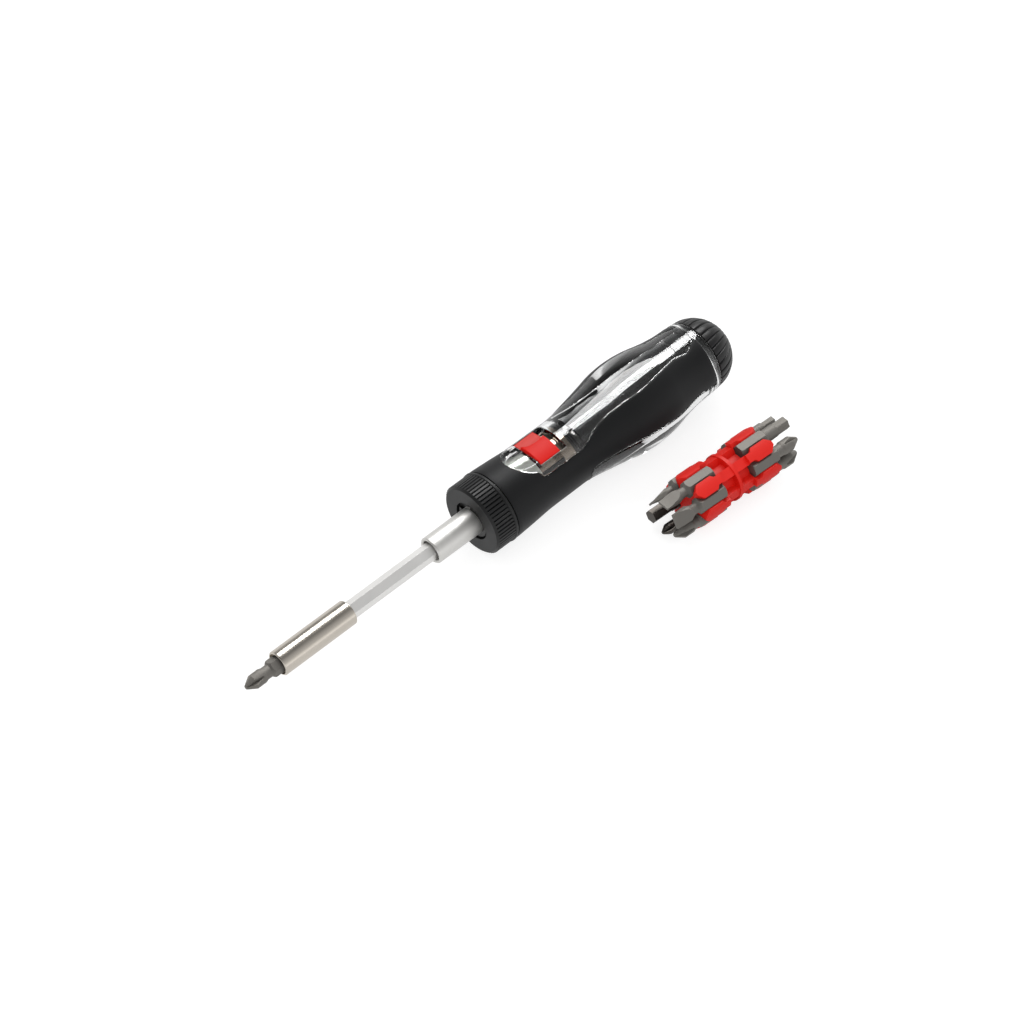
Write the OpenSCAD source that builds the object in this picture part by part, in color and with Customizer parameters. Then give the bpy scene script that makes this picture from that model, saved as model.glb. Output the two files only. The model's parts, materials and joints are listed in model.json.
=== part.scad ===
// Ratcheting screwdriver with a telescoping hex blade and a loose bit magazine, in millimetres.
// +X runs along the drive axis towards the bit and +Z is up. The origin lies on the drive axis,
// in the front face of the selector ring. Angles about the axis count from +Y towards +Z.

/* [Selector ring] */
// Length of the ring along the axis
ring_l = 10.5; // [9.5:0.1:11.5]
// Radius over the ribs
ring_r = 15.2; // [14.8:0.1:17]
// Height of the rear lip above the ribs
ring_lip_h = 0.3; // [0.1:0.1:1]
// Width of the rear lip
ring_lip_w = 1.4; // [0.8:0.1:2.5]
// Step of the flat front face below the ribs
ring_face_step = 1; // [0.6:0.1:2]
// Length of the rounded front edge
ring_edge_l = 0.9; // [0.5:0.1:1.5]
// Number of ribs round the ring
ring_ribs = 60; // [40:1:72]
// Depth of the grooves between the ribs
ring_groove_d = 0.6; // [0.3:0.05:0.9]
// Turn of the ring to each side, an angle
ring_turn = 8; // [6:0.5:9]

/* [Handle] */
// Length of the soft grip, from its front edge to the rear flange
grip_l = 105.5; // [104:0.5:115]
// Largest radius of the grip, in the palm
grip_r = 19.15; // [19:0.05:20.5]
// Gap between the selector ring and the grip
ring_gap = 0.5; // [0.3:0.05:1]
// Thickness of the soft overmould
soft_t = 1.1; // [0.8:0.05:1.3]
// Height of the clear windows above the soft skin
window_rise = 0.15; // [0.05:0.05:0.3]
// Angle of the top window about the axis
top_window_at = 100.5; // [96:0.5:104]
// Length of the clear flange behind the grip
flange_l = 3; // [2:0.1:4]
// Radius of the clear flange
flange_r = 15.5; // [15.2:0.1:16]
// Thickness of the partition in front of the magazine chamber
partition_t = 2; // [1.5:0.1:3]
// Wall of the magazine chamber's dark liner
liner_wall = 0.6; // [0.4:0.05:0.8]
// Radius of the thumb scoop
scoop_r = 22; // [18:0.5:30]
// Depth of the thumb scoop below the slider's face
scoop_d = 1.6; // [1:0.1:1.8]

/* [Release slider] */
// Distance of the slider's front edge behind the ring face
slider_at = 31.1; // [30.5:0.1:33]
// Length of the slider along the axis
slider_l = 10.1; // [9:0.1:11]
// Half of the slider's angle about the axis
slider_half = 34; // [28:0.5:36]
// Thickness of the slider
slider_t = 2.5; // [2.2:0.05:3]
// Travel of the slider towards the palm
slider_travel = 2.8; // [2.4:0.1:3.2]
// Radius of the thumb dish
dish_r = 9; // [7:0.5:12]
// Depth of the thumb dish
dish_d = 0.9; // [0.4:0.1:1.1]

/* [Lock] */
// Length of the polished collar
collar_l = 5.5; // [5:0.1:8]
// Thickness of the collar's front wall
collar_wall = 1.2; // [0.8:0.1:1.6]
// Wall of the collar's front tube
lock_tube_wall = 2.2; // [1.8:0.05:2.3]
// Distance of the lock balls behind the ring face
ball_at = 20; // [19:0.1:22]
// Radius of a lock ball
ball_r = 1.15; // [1.1:0.01:1.2]
// Length of the release groove inside the collar tube
release_l = 3.3; // [2.6:0.1:3.6]
// Radius of the spring wire
spring_wire_r = 0.4; // [0.3:0.05:0.45]
// Mean radius of the spring
spring_r = 9.2; // [9:0.05:9.5]
// Turns of the spring
spring_turns = 4; // [3:0.5:4.5]

/* [Spindle] */
// Length of the guide sleeve in front of the ring
sleeve_l = 21.2; // [16:0.2:30]
// Radius of the guide sleeve
sleeve_r = 5.7; // [5.6:0.05:5.8]
// Radius of the round mouth of the sleeve
sleeve_mouth_r = 4.4; // [4:0.1:4.8]
// Depth of the round mouth of the sleeve
sleeve_mouth_d = 2.2; // [1:0.1:6]
// Chamfer at the sleeve's front edge
sleeve_chamfer = 0.5; // [0.2:0.1:0.8]

/* [Ratchet] */
// Number of gear teeth, a multiple of four
gear_teeth = 24; // [20:4:28]
// Radius over the gear teeth
gear_tip_r = 8; // [7.9:0.05:8.1]
// Height of a tooth
gear_tooth_h = 0.8; // [0.6:0.05:0.9]
// Width of the gear
gear_l = 3.65; // [3.2:0.05:3.8]
// Distance of a pawl's stub from its pivot
stub_arm = 3.2; // [3:0.05:3.3]
// Radius of the stub
stub_r = 0.65; // [0.5:0.05:0.7]
// Radius of a pawl pin
pawl_pin_r = 0.9; // [0.8:0.05:1]
// Radius of the boss round a pawl pin
pawl_boss_r = 1.7; // [1.5:0.05:1.8]

/* [Blade] */
// Width over the flats of the hex blade and of every bit's shank
blade_af = 6.35; // [6.2:0.01:6.4]
// Reach of the blade's front end from the ring face
blade_reach = 85.8; // [80:0.1:110]
// Travel of the blade into the handle
blade_travel = 26; // [16:0.5:26]

/* [Bit holder] */
// Length of the holder
holder_l = 35.4; // [30:0.1:40]
// Depth of the holder's mouth in front of the blade's end
holder_front = 12.3; // [9:0.1:14]
// Radius of the holder
holder_r = 5.25; // [5.1:0.05:5.4]
// Wall of the holder's rolled sheet
holder_wall = 0.8; // [0.6:0.05:1]
// Depth of the socket insert behind the holder's mouth
holder_mouth_d = 1.6; // [1:0.1:2.5]
// Length of the holder's magnet
magnet_l = 2.9; // [2:0.1:3]

/* [Bits] */
// Length of a bit
bit_l = 25; // [25:0.1:27]
// Length of a bit's hex shank
shank_l = 12.5; // [11:0.1:14]
// Chamfer at the rear of a shank
shank_chamfer = 0.5; // [0.3:0.05:0.8]

/* [Magazine] */
// Centre of the magazine, along the drive axis
mag_x = -89.9; // [-95:0.1:-80]
// Centre of the magazine, to the side
mag_y = 46.6; // [44:0.1:60]
// Angle of the magazine in plan
mag_yaw = -1.2; // [-4:0.1:4]
// Turn of the magazine about its own axis
mag_roll = 34; // [30:1:38]
// Thickness of the fins between the bits
mag_fin_t = 1.09; // [0.9:0.01:1.3]
// Length of the middle between the two rows of bits
mag_middle_l = 15; // [14:0.5:16]
// Radius over the clip pads
mag_pad_r = 11.25; // [11.2:0.01:11.4]
// Length of a clip pad
mag_pad_l = 10.5; // [8:0.5:11]
// Gap between the middle's end and the clip pads
mag_pad_gap = 2.2; // [1.5:0.1:3]
// Radius of the ring round the middle
mag_ring_r = 10.1; // [9.5:0.1:10.8]
// Width of that ring
mag_ring_w = 1.4; // [1:0.1:4]
// Radius of the core in the middle
mag_core_r = 6.9; // [6:0.1:7.4]
// Width of a spar between the pads
mag_spar_w = 4; // [3:0.1:5]
// Half of the angle that a clip pad spans
mag_pad_angle = 16; // [14:0.5:21]

/* [Cap] */
// Radius of the rear dome
dome_r = 15.3; // [15:0.05:15.8]
// Depth of the rear dome
dome_l = 14.6; // [12:0.1:18]
// Thickness of the dome's soft cover
dome_t = 2.1; // [1.8:0.1:2.6]
// Wall of the cap's skirt
skirt_wall = 1.6; // [1.2:0.05:1.7]
// Reach of the skirt into the handle, from the flange's rear face
skirt_l = 5.4; // [5:0.1:6]
// Width of the latch tongue
tongue_w = 7; // [5:0.1:8]
// Length of the latch tongue in front of the skirt
tongue_l = 7; // [5:0.1:8]

/* [Hidden] */
$fn = 72;
// Overrun that makes a cut leave no skin
over = 0.5;
// Side clearance of parts that slide or turn on each other
fit = 0.08;
// Side clearance of a hex shank in its socket
hex_fit = 0.05;
// Clearance between parts that stay clear of each other
clear = 0.15;
// The two sides of the head, and a turn that lays +Z along +X
pair = [1, -1];
lengthwise = [0, 90, 0];
// Turn that keeps the magazine's round faces from starting in the middle of a pad
seam_turn = 27;

// Gear, pawls and the head that holds them, outwards from the axis
gear_pitch = 360 / gear_teeth;
gear_root_r = gear_tip_r - gear_tooth_h;
gear_tip_share = 0.1;
gear_root_share = 0.4;
gear_seat_step = 0.5;
gear_flat_r = sleeve_r - gear_seat_step;
pawl_room = 0.5;
pawl_pivot_r = gear_tip_r + pawl_room + pawl_boss_r;
pawl_lead = 20;
pawl_nose_at = 4 * gear_pitch;
pawl_pivot_at = pawl_nose_at - pawl_lead;
pawl_swing = ring_turn * (pawl_pivot_r - stub_arm) / stub_arm;
pawl_back_d = 0.95;
nose_tip_r = gear_root_r + 0.3125 * gear_tooth_h;
nose_base_r = gear_tip_r + 0.4375 * gear_tooth_h;
stub_track_r = pawl_pivot_r - stub_arm;
stub_in = 0.7;
arm_half = 1.2 * stub_r;
pocket_r = pawl_pivot_r + pawl_boss_r + clear;
pocket_spare = 16;
pocket_half = pawl_nose_at + pocket_spare;
head_wall = 0.85;
head_r = pocket_r + head_wall;
shoulder = 1;
mech_bore_r = head_r - shoulder;
cavity_r = head_r + fit;

// Stations of the head, all behind the ring face
recess_d = 1.6;
recess_r = 8.3;
web_at = 3;
plate_t = 1;
plate_r = head_r - shoulder / 2;
arm_t = 0.75;
pawl_t = 2.75;
washer_t = 0.6;
floor_t = 2.4;
plate_at = web_at + clear;
head_at = plate_at + plate_t + clear / 3;
arm_at = head_at + clear / 2;
pawl_at = arm_at + arm_t;
gear_at = pawl_at + clear;
gear_end = gear_at + gear_l;
washer_at = gear_end + fit;
floor_at = washer_at + washer_t + fit;
floor_end = floor_at + floor_t;
grip_at = ring_l + ring_gap;

// Detent in the head, with its ball and spring
detent_at = 7.1;
detent_angle = 180;
detent_ball_r = 1;
detent_bite = 0.04;
detent_floor_r = 9.2;
detent_spring_r = 0.7;
detent_r = cavity_r + detent_bite - detent_ball_r;
small_wire_r = 0.15;

// Retaining clip and its groove
clip_at = 0.55;
clip_t = 0.8;
clip_r = 7.5;
clip_groove_d = 0.6;
clip_gap = 62;
clip_turn = 135;

// Slider, collar, lock and partition, from front to rear
housing_gap = 1.1;
housing_end = slider_at - housing_gap;
slider_in_r = mech_bore_r - fit;
slider_r = slider_in_r + slider_t;
saddle_l = 5.5;
saddle_step = 4;
slot_step = 0.5;
scoop_lead = 1.5;
scoop_half = 60;
collar_at = slider_at + slider_l + 2 * clear;
collar_end = collar_at + collar_l;
collar_r = mech_bore_r - fit;
rim_gap = 0.2;
partition_at = collar_end + slider_travel + rim_gap;
chamber_at = partition_at + partition_t;
ball_out_r = blade_af / 2 + 2 * ball_r;
ball_bite = 0.04;
land_r = ball_out_r - 0.625 * ball_bite;
lock_tube_r = land_r + lock_tube_wall;
lock_lead = 6.5;
lock_front = ball_at - lock_lead;
hub_l = 2.6;
release_d = 0.95;
release_r = land_r + release_d;

// Journal of the spindle, its bush and the hex blade inside it
journal_gap = 0.3;
journal_r = land_r - journal_gap;
spindle_gap = 0.6;
spindle_end = chamber_at - spindle_gap;
bush_wall = 1.4;
bush_r = journal_r + fit + bush_wall;
bush_flange_w = 1.6;
bush_flange_t = 0.35;
blade_tail = 4;
blade_end = ball_at + blade_tail;
blade_chamfer = 0.5;
corner_r = blade_af / sqrt(3);
holder_end = blade_reach + holder_front;
holder_at = holder_end - holder_l;

// Points of the bits: blade width and thickness, neck radius, lobe radius or width over flats
slot_6 = [6, 1.2];
slot_5 = [5.2, 1];
slot_4 = [4, 0.8];
cross_1_r = 2.3;
cross_2_r = 3;
cross_3_r = 3.1;
double_cross_2_r = 2.9;
hexalobe_30_r = 2.75;
hexalobe_20_r = 1.95;
hexalobe_10_r = 1.4;
hex_5 = 5;
hex_4 = 4;
tip_l = bit_l - shank_l;
hexalobe_l = 0.48 * tip_l;
waist_l = 0.272 * tip_l;
blade_waist_r = 2.1;
blade_waist_share = 0.44;
shoulder_l = 0.192 * tip_l;
cross_point_share = 0.3;
cross_flute_share = 0.64;
hex_collar_l = 0.24 * tip_l;

// Magazine, its bits and the floor that it shares with the handle
window_step = 120;
floor_slope = 2.79;
mag_pitch_r = blade_af + 2 * fit + mag_fin_t;
mag_half = mag_middle_l / 2;
mag_end = mag_half + mag_pad_gap + mag_pad_l;
mag_root_r = mag_pitch_r - blade_af / 2 - 2 * fit;
belly_share = 0.7;
mag_z = mag_pad_r - grip_r + (mag_x + grip_at + belly_share * grip_l) * tan(floor_slope);
chamber_r = mag_pad_r + clear + clear / 2;
liner_r = chamber_r + liner_wall;

// Handle's rear end and the cap
grip_end = grip_at + grip_l;
flange_end = grip_end + flange_l;
flange_wall = 2;
cap_at = flange_end + clear;
cap_end = cap_at + dome_l;
skirt_r = flange_r - flange_wall - fit;
skirt_at = flange_end - skirt_l;
cup_l = 3.6;
cup_end = skirt_at + cup_l;
tongue_in_r = liner_r + fit + clear;
tongue_step = 0.4;
tongue_out_r = skirt_r - tongue_step;
cap_wall = 2;
cap_core_r = dome_r - dome_t;
cap_core_l = dome_l - dome_t;
cap_hole_r = 4.5;

// Outline of the grip: shares of its length and of its largest radius
grip_shares = [
  [0, 0.804], [0.085, 0.778], [0.18, 0.744], [0.275, 0.739], [0.37, 0.737], [0.408, 0.76],
  [0.441, 0.789], [0.474, 0.82], [0.507, 0.85], [0.54, 0.883], [0.573, 0.917], [0.607, 0.956],
  [0.635, 0.98], [0.67, 0.996], [0.7, 1], [0.735, 0.992], [0.768, 0.973], [0.801, 0.944],
  [0.834, 0.904], [0.867, 0.869], [0.9, 0.843], [0.934, 0.824], [1, 0.812]
];
// Top window: shares of the grip's length, with half widths as shares of its largest radius
top_window_shares = [
  [0.087, 0.06], [0.095, 0.19], [0.113, 0.33], [0.133, 0.421], [0.165, 0.5], [0.172, 0.595],
  [0.3745, 0.59], [0.4265, 0.526], [0.4645, 0.49], [0.512, 0.484], [0.559, 0.51], [0.602, 0.54],
  [0.654, 0.573], [0.705, 0.566], [0.749, 0.53], [0.796, 0.482], [0.843, 0.426], [0.872, 0.395],
  [0.905, 0.41], [0.929, 0.418], [0.948, 0.392], [0.967, 0.338], [0.986, 0.285], [1.01, 0.272]
];
// Lower windows, in the same shares
low_window_shares = [
  [0.3745, 0.245], [0.389, 0.298], [0.417, 0.345], [0.4645, 0.388], [0.512, 0.42], [0.559, 0.445],
  [0.602, 0.47], [0.654, 0.487], [0.705, 0.476], [0.749, 0.44], [0.796, 0.39], [0.843, 0.345],
  [0.891, 0.336], [0.919, 0.318], [0.948, 0.274], [0.976, 0.245], [1.01, 0.24]
];

// Round bar from station x0 to the station x1 in front of it
module rod(x0, x1, r) {
  translate([x0, 0, 0]) rotate(lengthwise) cylinder(r = r, h = x1 - x0);
}

// Round tube between two stations
module tube(x0, x1, r_out, r_in) {
  difference() {
    rod(x0, x1, r_out);
    rod(x0 - over, x1 + over, r_in);
  }
}

// Body turned about the axis from [station, radius] points
module turned(points) {
  rotate(lengthwise) rotate_extrude() polygon([for (p = points) [p[1], p[0]]]);
}

// Hexagonal bar between two stations, with flats to both sides
module hex_rod(x0, x1, af) {
  translate([x0, 0, 0]) rotate(lengthwise) cylinder(r = af / sqrt(3), h = x1 - x0, $fn = 6);
}

// Sector of a disc between two stations, centred on an angle about the axis
module sector(x0, x1, at, half, reach) {
  arc = [for (s = [-1, -0.5, 0, 0.5, 1]) let (a = at + 90 + s * half) reach * [cos(a), sin(a)]];
  translate([x0, 0, 0]) rotate(lengthwise) linear_extrude(x1 - x0)
    polygon(concat([[0, 0]], arc));
}

// Prism that stands on the axis and points outwards at an angle, from an outline in x and width
module outward(at, reach) {
  rotate([at - 90, 0, 0]) linear_extrude(reach) children();
}

function unit(v) = v / norm(v);

// Path of a wound wire about the drive axis: straight ends, one wire across, and turns between
function coil_path(x0, x1, r, wire_r, turns) =
  let (a = x0 + 2 * wire_r, b = x1 - 2 * wire_r, steps = 8 * turns)
  concat(
    [[x0, r, 0]],
    [for (i = [0:steps]) let (t = 360 * turns * i / steps)
      [a + (b - a) * i / steps, r * cos(t), r * sin(t)]],
    [[x1, r * cos(360 * turns), r * sin(360 * turns)]]
  );

// Least gap of a wound wire to itself, between points at least half a turn apart
function least_gap(path, wire_r) =
  min([for (i = [0:len(path) - 6], j = [i + 5:len(path) - 1]) norm(path[i] - path[j])])
  - 2 * wire_r;

// Wire of six sides swept along a path that winds about the drive axis
module wire(path, wire_r) {
  n = len(path);
  sides = 6;
  rings = [for (i = [0:n - 1])
    let (
      along = unit(path[min(i + 1, n - 1)] - path[max(i - 1, 0)]),
      out = unit([0, path[i][1], path[i][2]]),
      across = cross(along, out)
    )
    [for (s = [0:sides - 1]) let (a = 360 * s / sides)
      path[i] + wire_r * (cos(a) * out + sin(a) * across)]];
  walls = [for (i = [0:n - 2], s = [0:sides - 1])
    let (p = i * sides + s, q = i * sides + (s + 1) % sides)
    each [[p, p + sides, q], [q, p + sides, q + sides]]];
  ends = [for (s = [1:sides - 2])
    each [[0, s, s + 1], [(n - 1) * sides, (n - 1) * sides + s + 1, (n - 1) * sides + s]]];
  polyhedron(points = [for (ring = rings) each ring], faces = concat(walls, ends));
}

// Grip outline as [station, radius] points, moved outwards by a step
function grip_points(step) =
  [for (s = grip_shares) [-grip_at - s[0] * grip_l, s[1] * grip_r + step]];

// Solid of the grip's outline, out to a step from the soft skin
module grip_solid(step) {
  turned(concat([[-grip_at, 0]], grip_points(step), [[-grip_end, 0]]));
}

// Outline of a window in the plan of its own prism
module window_plan(shares) {
  right = [for (s = shares) [-grip_at - min(s[0], 1) * grip_l, s[1] * grip_r]];
  left = [for (i = [len(right) - 1:-1:0]) [right[i][0], -right[i][1]]];
  polygon(concat(right, left));
}

// The three window prisms
module windows() {
  outward(top_window_at, grip_r + over) window_plan(top_window_shares);
  for (side = pair)
    outward(top_window_at + side * window_step, grip_r + over) window_plan(low_window_shares);
}

// Clear inner body with the three windows, the mechanism bore and the magazine chamber
module handle_shell() {
  color([0.9, 0.93, 0.95, 0.45]) difference() {
    union() {
      grip_solid(-soft_t);
      intersection() {
        grip_solid(window_rise);
        windows();
      }
      rod(-flange_end, -grip_end, flange_r);
    }
    rod(-partition_at, -grip_at + over, mech_bore_r);
    rod(-chamber_at - over, -partition_at + over, bush_r);
    rod(-flange_end - over, -chamber_at, liner_r + fit);
    rod(-flange_end - over, -skirt_at + clear, skirt_r + fit);
    tongue(tongue_w + 2 * clear, clear, liner_r - over, tongue_out_r + clear);
    thumb_scoop();
    slider_slot();
  }
}

// Thumb scoop in front of the slider
module thumb_scoop() {
  intersection() {
    rotate([top_window_at - 90, 0, 0])
      translate([-slider_at + scoop_lead, 0, slider_r - scoop_d + scoop_r])
        rotate([90, 0, 0]) cylinder(r = scoop_r, h = 2 * grip_r, center = true);
    sector(-slider_at - over, -grip_at, top_window_at, scoop_half, 2 * grip_r);
  }
}

// Slot that the release slider runs in
module slider_slot() {
  sector(-slider_at - slider_l - slider_travel - 2 * clear, -slider_at + clear, top_window_at,
    slider_half + slot_step, 2 * grip_r);
}

// Dark tube that lines the magazine chamber
module chamber_liner() {
  color([0.08, 0.08, 0.09]) tube(-skirt_at + clear, -chamber_at - fit, liner_r, chamber_r);
}

// Soft skin: a collar in front and three panels between the windows
module grip_overmould() {
  color([0.11, 0.11, 0.12]) difference() {
    grip_solid(0);
    grip_solid_core();
    windows();
  }
}

// Space that the clear body fills inside the soft skin
module grip_solid_core() {
  turned(concat(
    [[-grip_at + over, 0], [-grip_at + over, grip_points(-soft_t)[0][1]]],
    grip_points(-soft_t),
    [[-grip_end - over, grip_points(-soft_t)[len(grip_shares) - 1][1]], [-grip_end - over, 0]]
  ));
}

// Cross-section of the ribbed stretch of the selector ring
module rib_plan() {
  pitch = 360 / ring_ribs;
  crest_share = 0.27;
  polygon([for (i = [0:ring_ribs - 1], k = [-1, 1, 2])
    let (
      a = pitch * (i + (k == 2 ? 0.5 : k * crest_share)),
      r = k == 2 ? ring_r - ring_groove_d : ring_r
    )
    r * [cos(a), sin(a)]]);
}

// Ribbed ring that selects the drive direction
module selector_ring() {
  rib_end = ring_l - ring_lip_w;
  face_r = ring_r - ring_face_step;
  lip_r = ring_r + ring_lip_h;
  end_r = ring_r - ring_groove_d / 3;
  color([0.12, 0.12, 0.13]) difference() {
    union() {
      turned([
        [0, 0], [0, face_r], [-ring_edge_l / 3, face_r + ring_face_step / 3],
        [-ring_edge_l, end_r], [-ring_edge_l - over, end_r - ring_groove_d],
        [-ring_edge_l - over, 0]
      ]);
      translate([-rib_end, 0, 0]) rotate(lengthwise) linear_extrude(rib_end - ring_edge_l)
        rib_plan();
      turned([
        [-rib_end + over, 0], [-rib_end + over, end_r - ring_groove_d], [-rib_end, end_r],
        [-rib_end - ring_lip_w / 4, lip_r],
        [-ring_l + ring_lip_w / 4, lip_r], [-ring_l, ring_r], [-ring_l, 0]
      ]);
    }
    rod(-ring_l - over, -web_at, cavity_r);
    rod(-web_at - over, over, sleeve_r + fit);
    rod(-recess_d, over, recess_r);
    for (side = pair) rotate([side * pawl_pivot_at, 0, 0])
      translate([-web_at - over, stub_track_r, 0]) stub_slot();
    for (step = [-1, 0, 1]) rotate([detent_angle + step * ring_turn, 0, 0])
      translate([-detent_at, detent_r, 0]) sphere(r = detent_ball_r + fit / 2);
  }
}

// Radial slot in the web that carries a pawl's stub, as a cut
module stub_slot() {
  width = 2 * (stub_r + 1.2 * fit);
  length = 2 * stub_r + 3 * fit + stub_arm * (1 - cos(pawl_swing));
  translate([0, -stub_r - 1.5 * fit, -width / 2]) cube([stub_in + clear + over, length, width]);
}

// Steel housing: a head inside the selector ring and a body pressed into the handle
module ratchet_housing() {
  color([0.75, 0.76, 0.78]) difference() {
    union() {
      rod(-grip_at, -head_at, head_r);
      rod(-housing_end, -grip_at + over, mech_bore_r);
    }
    rod(-floor_at, -head_at + over, gear_tip_r + 2 * clear);
    intersection() {
      rod(-floor_at, -head_at + over, pocket_r);
      sector(-floor_at, -head_at + over, 0, pocket_half, 2 * pocket_r);
    }
    rod(-floor_end - over, -floor_at + over, journal_r + fit);
    rod(-housing_end - over, -floor_end, lock_tube_r + fit);
    for (side = pair) rotate([side * pawl_pivot_at, 0, 0])
      translate([0, pawl_pivot_r, 0]) rod(-grip_at, -floor_at + over, pawl_pin_r);
    rotate([detent_angle, 0, 0]) translate([-detent_at, detent_floor_r, 0])
      rotate([-90, 0, 0]) cylinder(r = detent_ball_r + fit / 2, h = head_r);
  }
}

// Steel plate that closes the head, with an arc for each stub
module cover_plate() {
  color([0.62, 0.63, 0.65]) difference() {
    tube(-plate_at - plate_t, -plate_at, plate_r, sleeve_r + fit);
    for (side = pair) {
      rotate([side * pawl_pivot_at, 0, 0]) intersection() {
        tube(-plate_at - plate_t - over, -plate_at + over, stub_track_r + stub_r + 4 * fit,
          stub_track_r - stub_r - fit);
        sector(-plate_at - plate_t - over, -plate_at + over, 0, 2 * ring_turn, pocket_r);
      }
      rotate([side * pawl_pivot_at, 0, 0]) translate([0, pawl_pivot_r, 0])
        rod(-plate_at - plate_t - over, -plate_at + over, pawl_pin_r);
    }
  }
}

// Ratchet gear on the two flats of the spindle
module ratchet_gear() {
  color([0.55, 0.56, 0.58]) difference() {
    translate([-gear_end, 0, 0]) rotate(lengthwise) linear_extrude(gear_l)
      polygon([for (i = [0:gear_teeth - 1], k = [[0.5 - gear_tip_share, gear_tip_r],
          [0.5 + gear_tip_share, gear_tip_r], [0.5 + gear_root_share, gear_root_r],
          [1.5 - gear_root_share, gear_root_r]])
        let (a = gear_pitch * (i + k[0]) + 90) k[1] * [cos(a), sin(a)]]);
    intersection() {
      rod(-gear_end - over, -gear_at + over, sleeve_r);
      gear_flats(over);
    }
  }
}

// Block between the two flats of the gear seat
module gear_flats(extra) {
  translate([-gear_end - extra, -gear_flat_r, -sleeve_r - over])
    cube([gear_l + 2 * extra, 2 * gear_flat_r, 2 * (sleeve_r + over)]);
}

// Spindle: guide sleeve in front, gear seat in the head and journal through the handle
module spindle_tube() {
  mouth_at = sleeve_l - sleeve_mouth_d;
  groove_r = sleeve_r - clip_groove_d;
  color([0.8, 0.81, 0.83]) difference() {
    union() {
      turned([
        [sleeve_l, 0], [sleeve_l, sleeve_r - sleeve_chamfer], [sleeve_l - sleeve_chamfer, sleeve_r],
        [-clip_at, sleeve_r], [-clip_at, groove_r], [-clip_at - clip_t - fit, groove_r],
        [-clip_at - clip_t - fit, sleeve_r], [-gear_at, sleeve_r], [-gear_at, 0]
      ]);
      intersection() {
        rod(-gear_end, -gear_at, sleeve_r);
        gear_flats(0);
      }
      rod(-spindle_end, -gear_end, journal_r);
    }
    hex_rod(-spindle_end - over, sleeve_l + over, blade_af + 2 * hex_fit);
    turned([
      [mouth_at - sleeve_mouth_r / 3, 0], [mouth_at - sleeve_mouth_r / 3, sleeve_mouth_r / 2],
      [mouth_at, sleeve_mouth_r], [sleeve_l - sleeve_chamfer, sleeve_mouth_r],
      [sleeve_l + over, sleeve_mouth_r + sleeve_chamfer + over], [sleeve_l + over, 0]
    ]);
    for (side = pair) translate([-ball_at, 0, 0]) rotate([-90 * side, 0, 0])
      cylinder(r = ball_r + fit / 2, h = sleeve_r + over);
  }
}

// Open spring clip that holds the selector ring on the spindle
module retaining_clip() {
  color([0.1, 0.1, 0.11]) difference() {
    tube(-clip_at - clip_t, -clip_at - fit / 2, clip_r, sleeve_r - clip_groove_d + fit / 4);
    sector(-clip_at - clip_t - over, over, clip_turn, clip_gap / 2, 2 * clip_r);
  }
}

// Washer between the gear and the housing floor
module thrust_washer() {
  color([0.5, 0.48, 0.4])
    tube(-washer_at - washer_t, -washer_at, gear_root_r, journal_r + fit);
}

// Flanged bush that carries the spindle's rear end in the partition
module rear_bush() {
  color([0.34, 0.33, 0.32]) difference() {
    union() {
      rod(-chamber_at, -partition_at + fit, bush_r);
      rod(-partition_at, -partition_at + bush_flange_t, bush_r + bush_flange_w);
    }
    rod(-chamber_at - over, -partition_at + bush_flange_t + over, journal_r + fit);
  }
}

// Two pins that carry the pawls
module pawl_pins() {
  color([0.7, 0.71, 0.73]) for (side = pair)
    rotate([side * pawl_pivot_at, 0, 0]) translate([0, pawl_pivot_r, 0])
      rod(-grip_at, -plate_at, pawl_pin_r);
}

// Point of a pawl's nose in the plan of its pivot, from its radius and its share of a tooth pitch
function nose_point(r, share) =
  let (a = pawl_lead + share * gear_pitch) [r * cos(a) - pawl_pivot_r, r * sin(a)];

// Pawl at rest, clear of the gear, for one side of the head
module pawl(side) {
  back = [nose_base_r + pawl_back_d, 0.27];
  nose = [back, [nose_base_r, 0.352], [nose_tip_r, 0.128], [nose_tip_r, -0.128], [nose_base_r, -0.352]];
  outline = concat(
    [pawl_boss_r * [0.7, 0.71]],
    [for (p = nose) nose_point(p[0], p[1])],
    [pawl_boss_r * [-0.9, 0.4], pawl_boss_r * [-0.2, -0.5]]
  );
  rotate([side * pawl_pivot_at, 0, 0]) translate([0, pawl_pivot_r, 0])
    mirror([0, 0, side > 0 ? 0 : 1]) difference() {
      union() {
        rotate([-pawl_swing, 0, 0]) translate([-pawl_at - pawl_t, 0, 0]) rotate(lengthwise)
          linear_extrude(pawl_t) rotate([0, 0, 90]) polygon(outline);
        rod(-pawl_at - pawl_t, -arm_at, pawl_boss_r);
        translate([-pawl_at, -stub_arm, -arm_half]) cube([arm_t, stub_arm, 2 * arm_half]);
        translate([0, -stub_arm, 0]) rod(-pawl_at, -arm_at, arm_half);
        translate([0, -stub_arm, 0]) rod(-pawl_at, -web_at + stub_in, stub_r);
      }
      rod(-pawl_at - pawl_t - over, -arm_at + over, pawl_pin_r + fit / 2);
    }
}

module pawl_left() {
  color([0.5, 0.5, 0.53]) pawl(1);
}

module pawl_right() {
  color([0.5, 0.5, 0.53]) pawl(-1);
}

// Small torsion spring behind a pawl, wound round its pin
module pawl_spring(side) {
  path = coil_path(-floor_at + clear / 2, -pawl_at - pawl_t - clear / 2,
    pawl_pin_r + 2 * small_wire_r + fit, small_wire_r, 1.5);
  echo("pawl spring least gap", least_gap(path, small_wire_r));
  rotate([side * pawl_pivot_at, 0, 0]) translate([0, pawl_pivot_r, 0]) wire(path, small_wire_r);
}

module pawl_spring_left() {
  color([0.7, 0.7, 0.72]) pawl_spring(1);
}

module pawl_spring_right() {
  color([0.7, 0.7, 0.72]) pawl_spring(-1);
}

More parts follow.
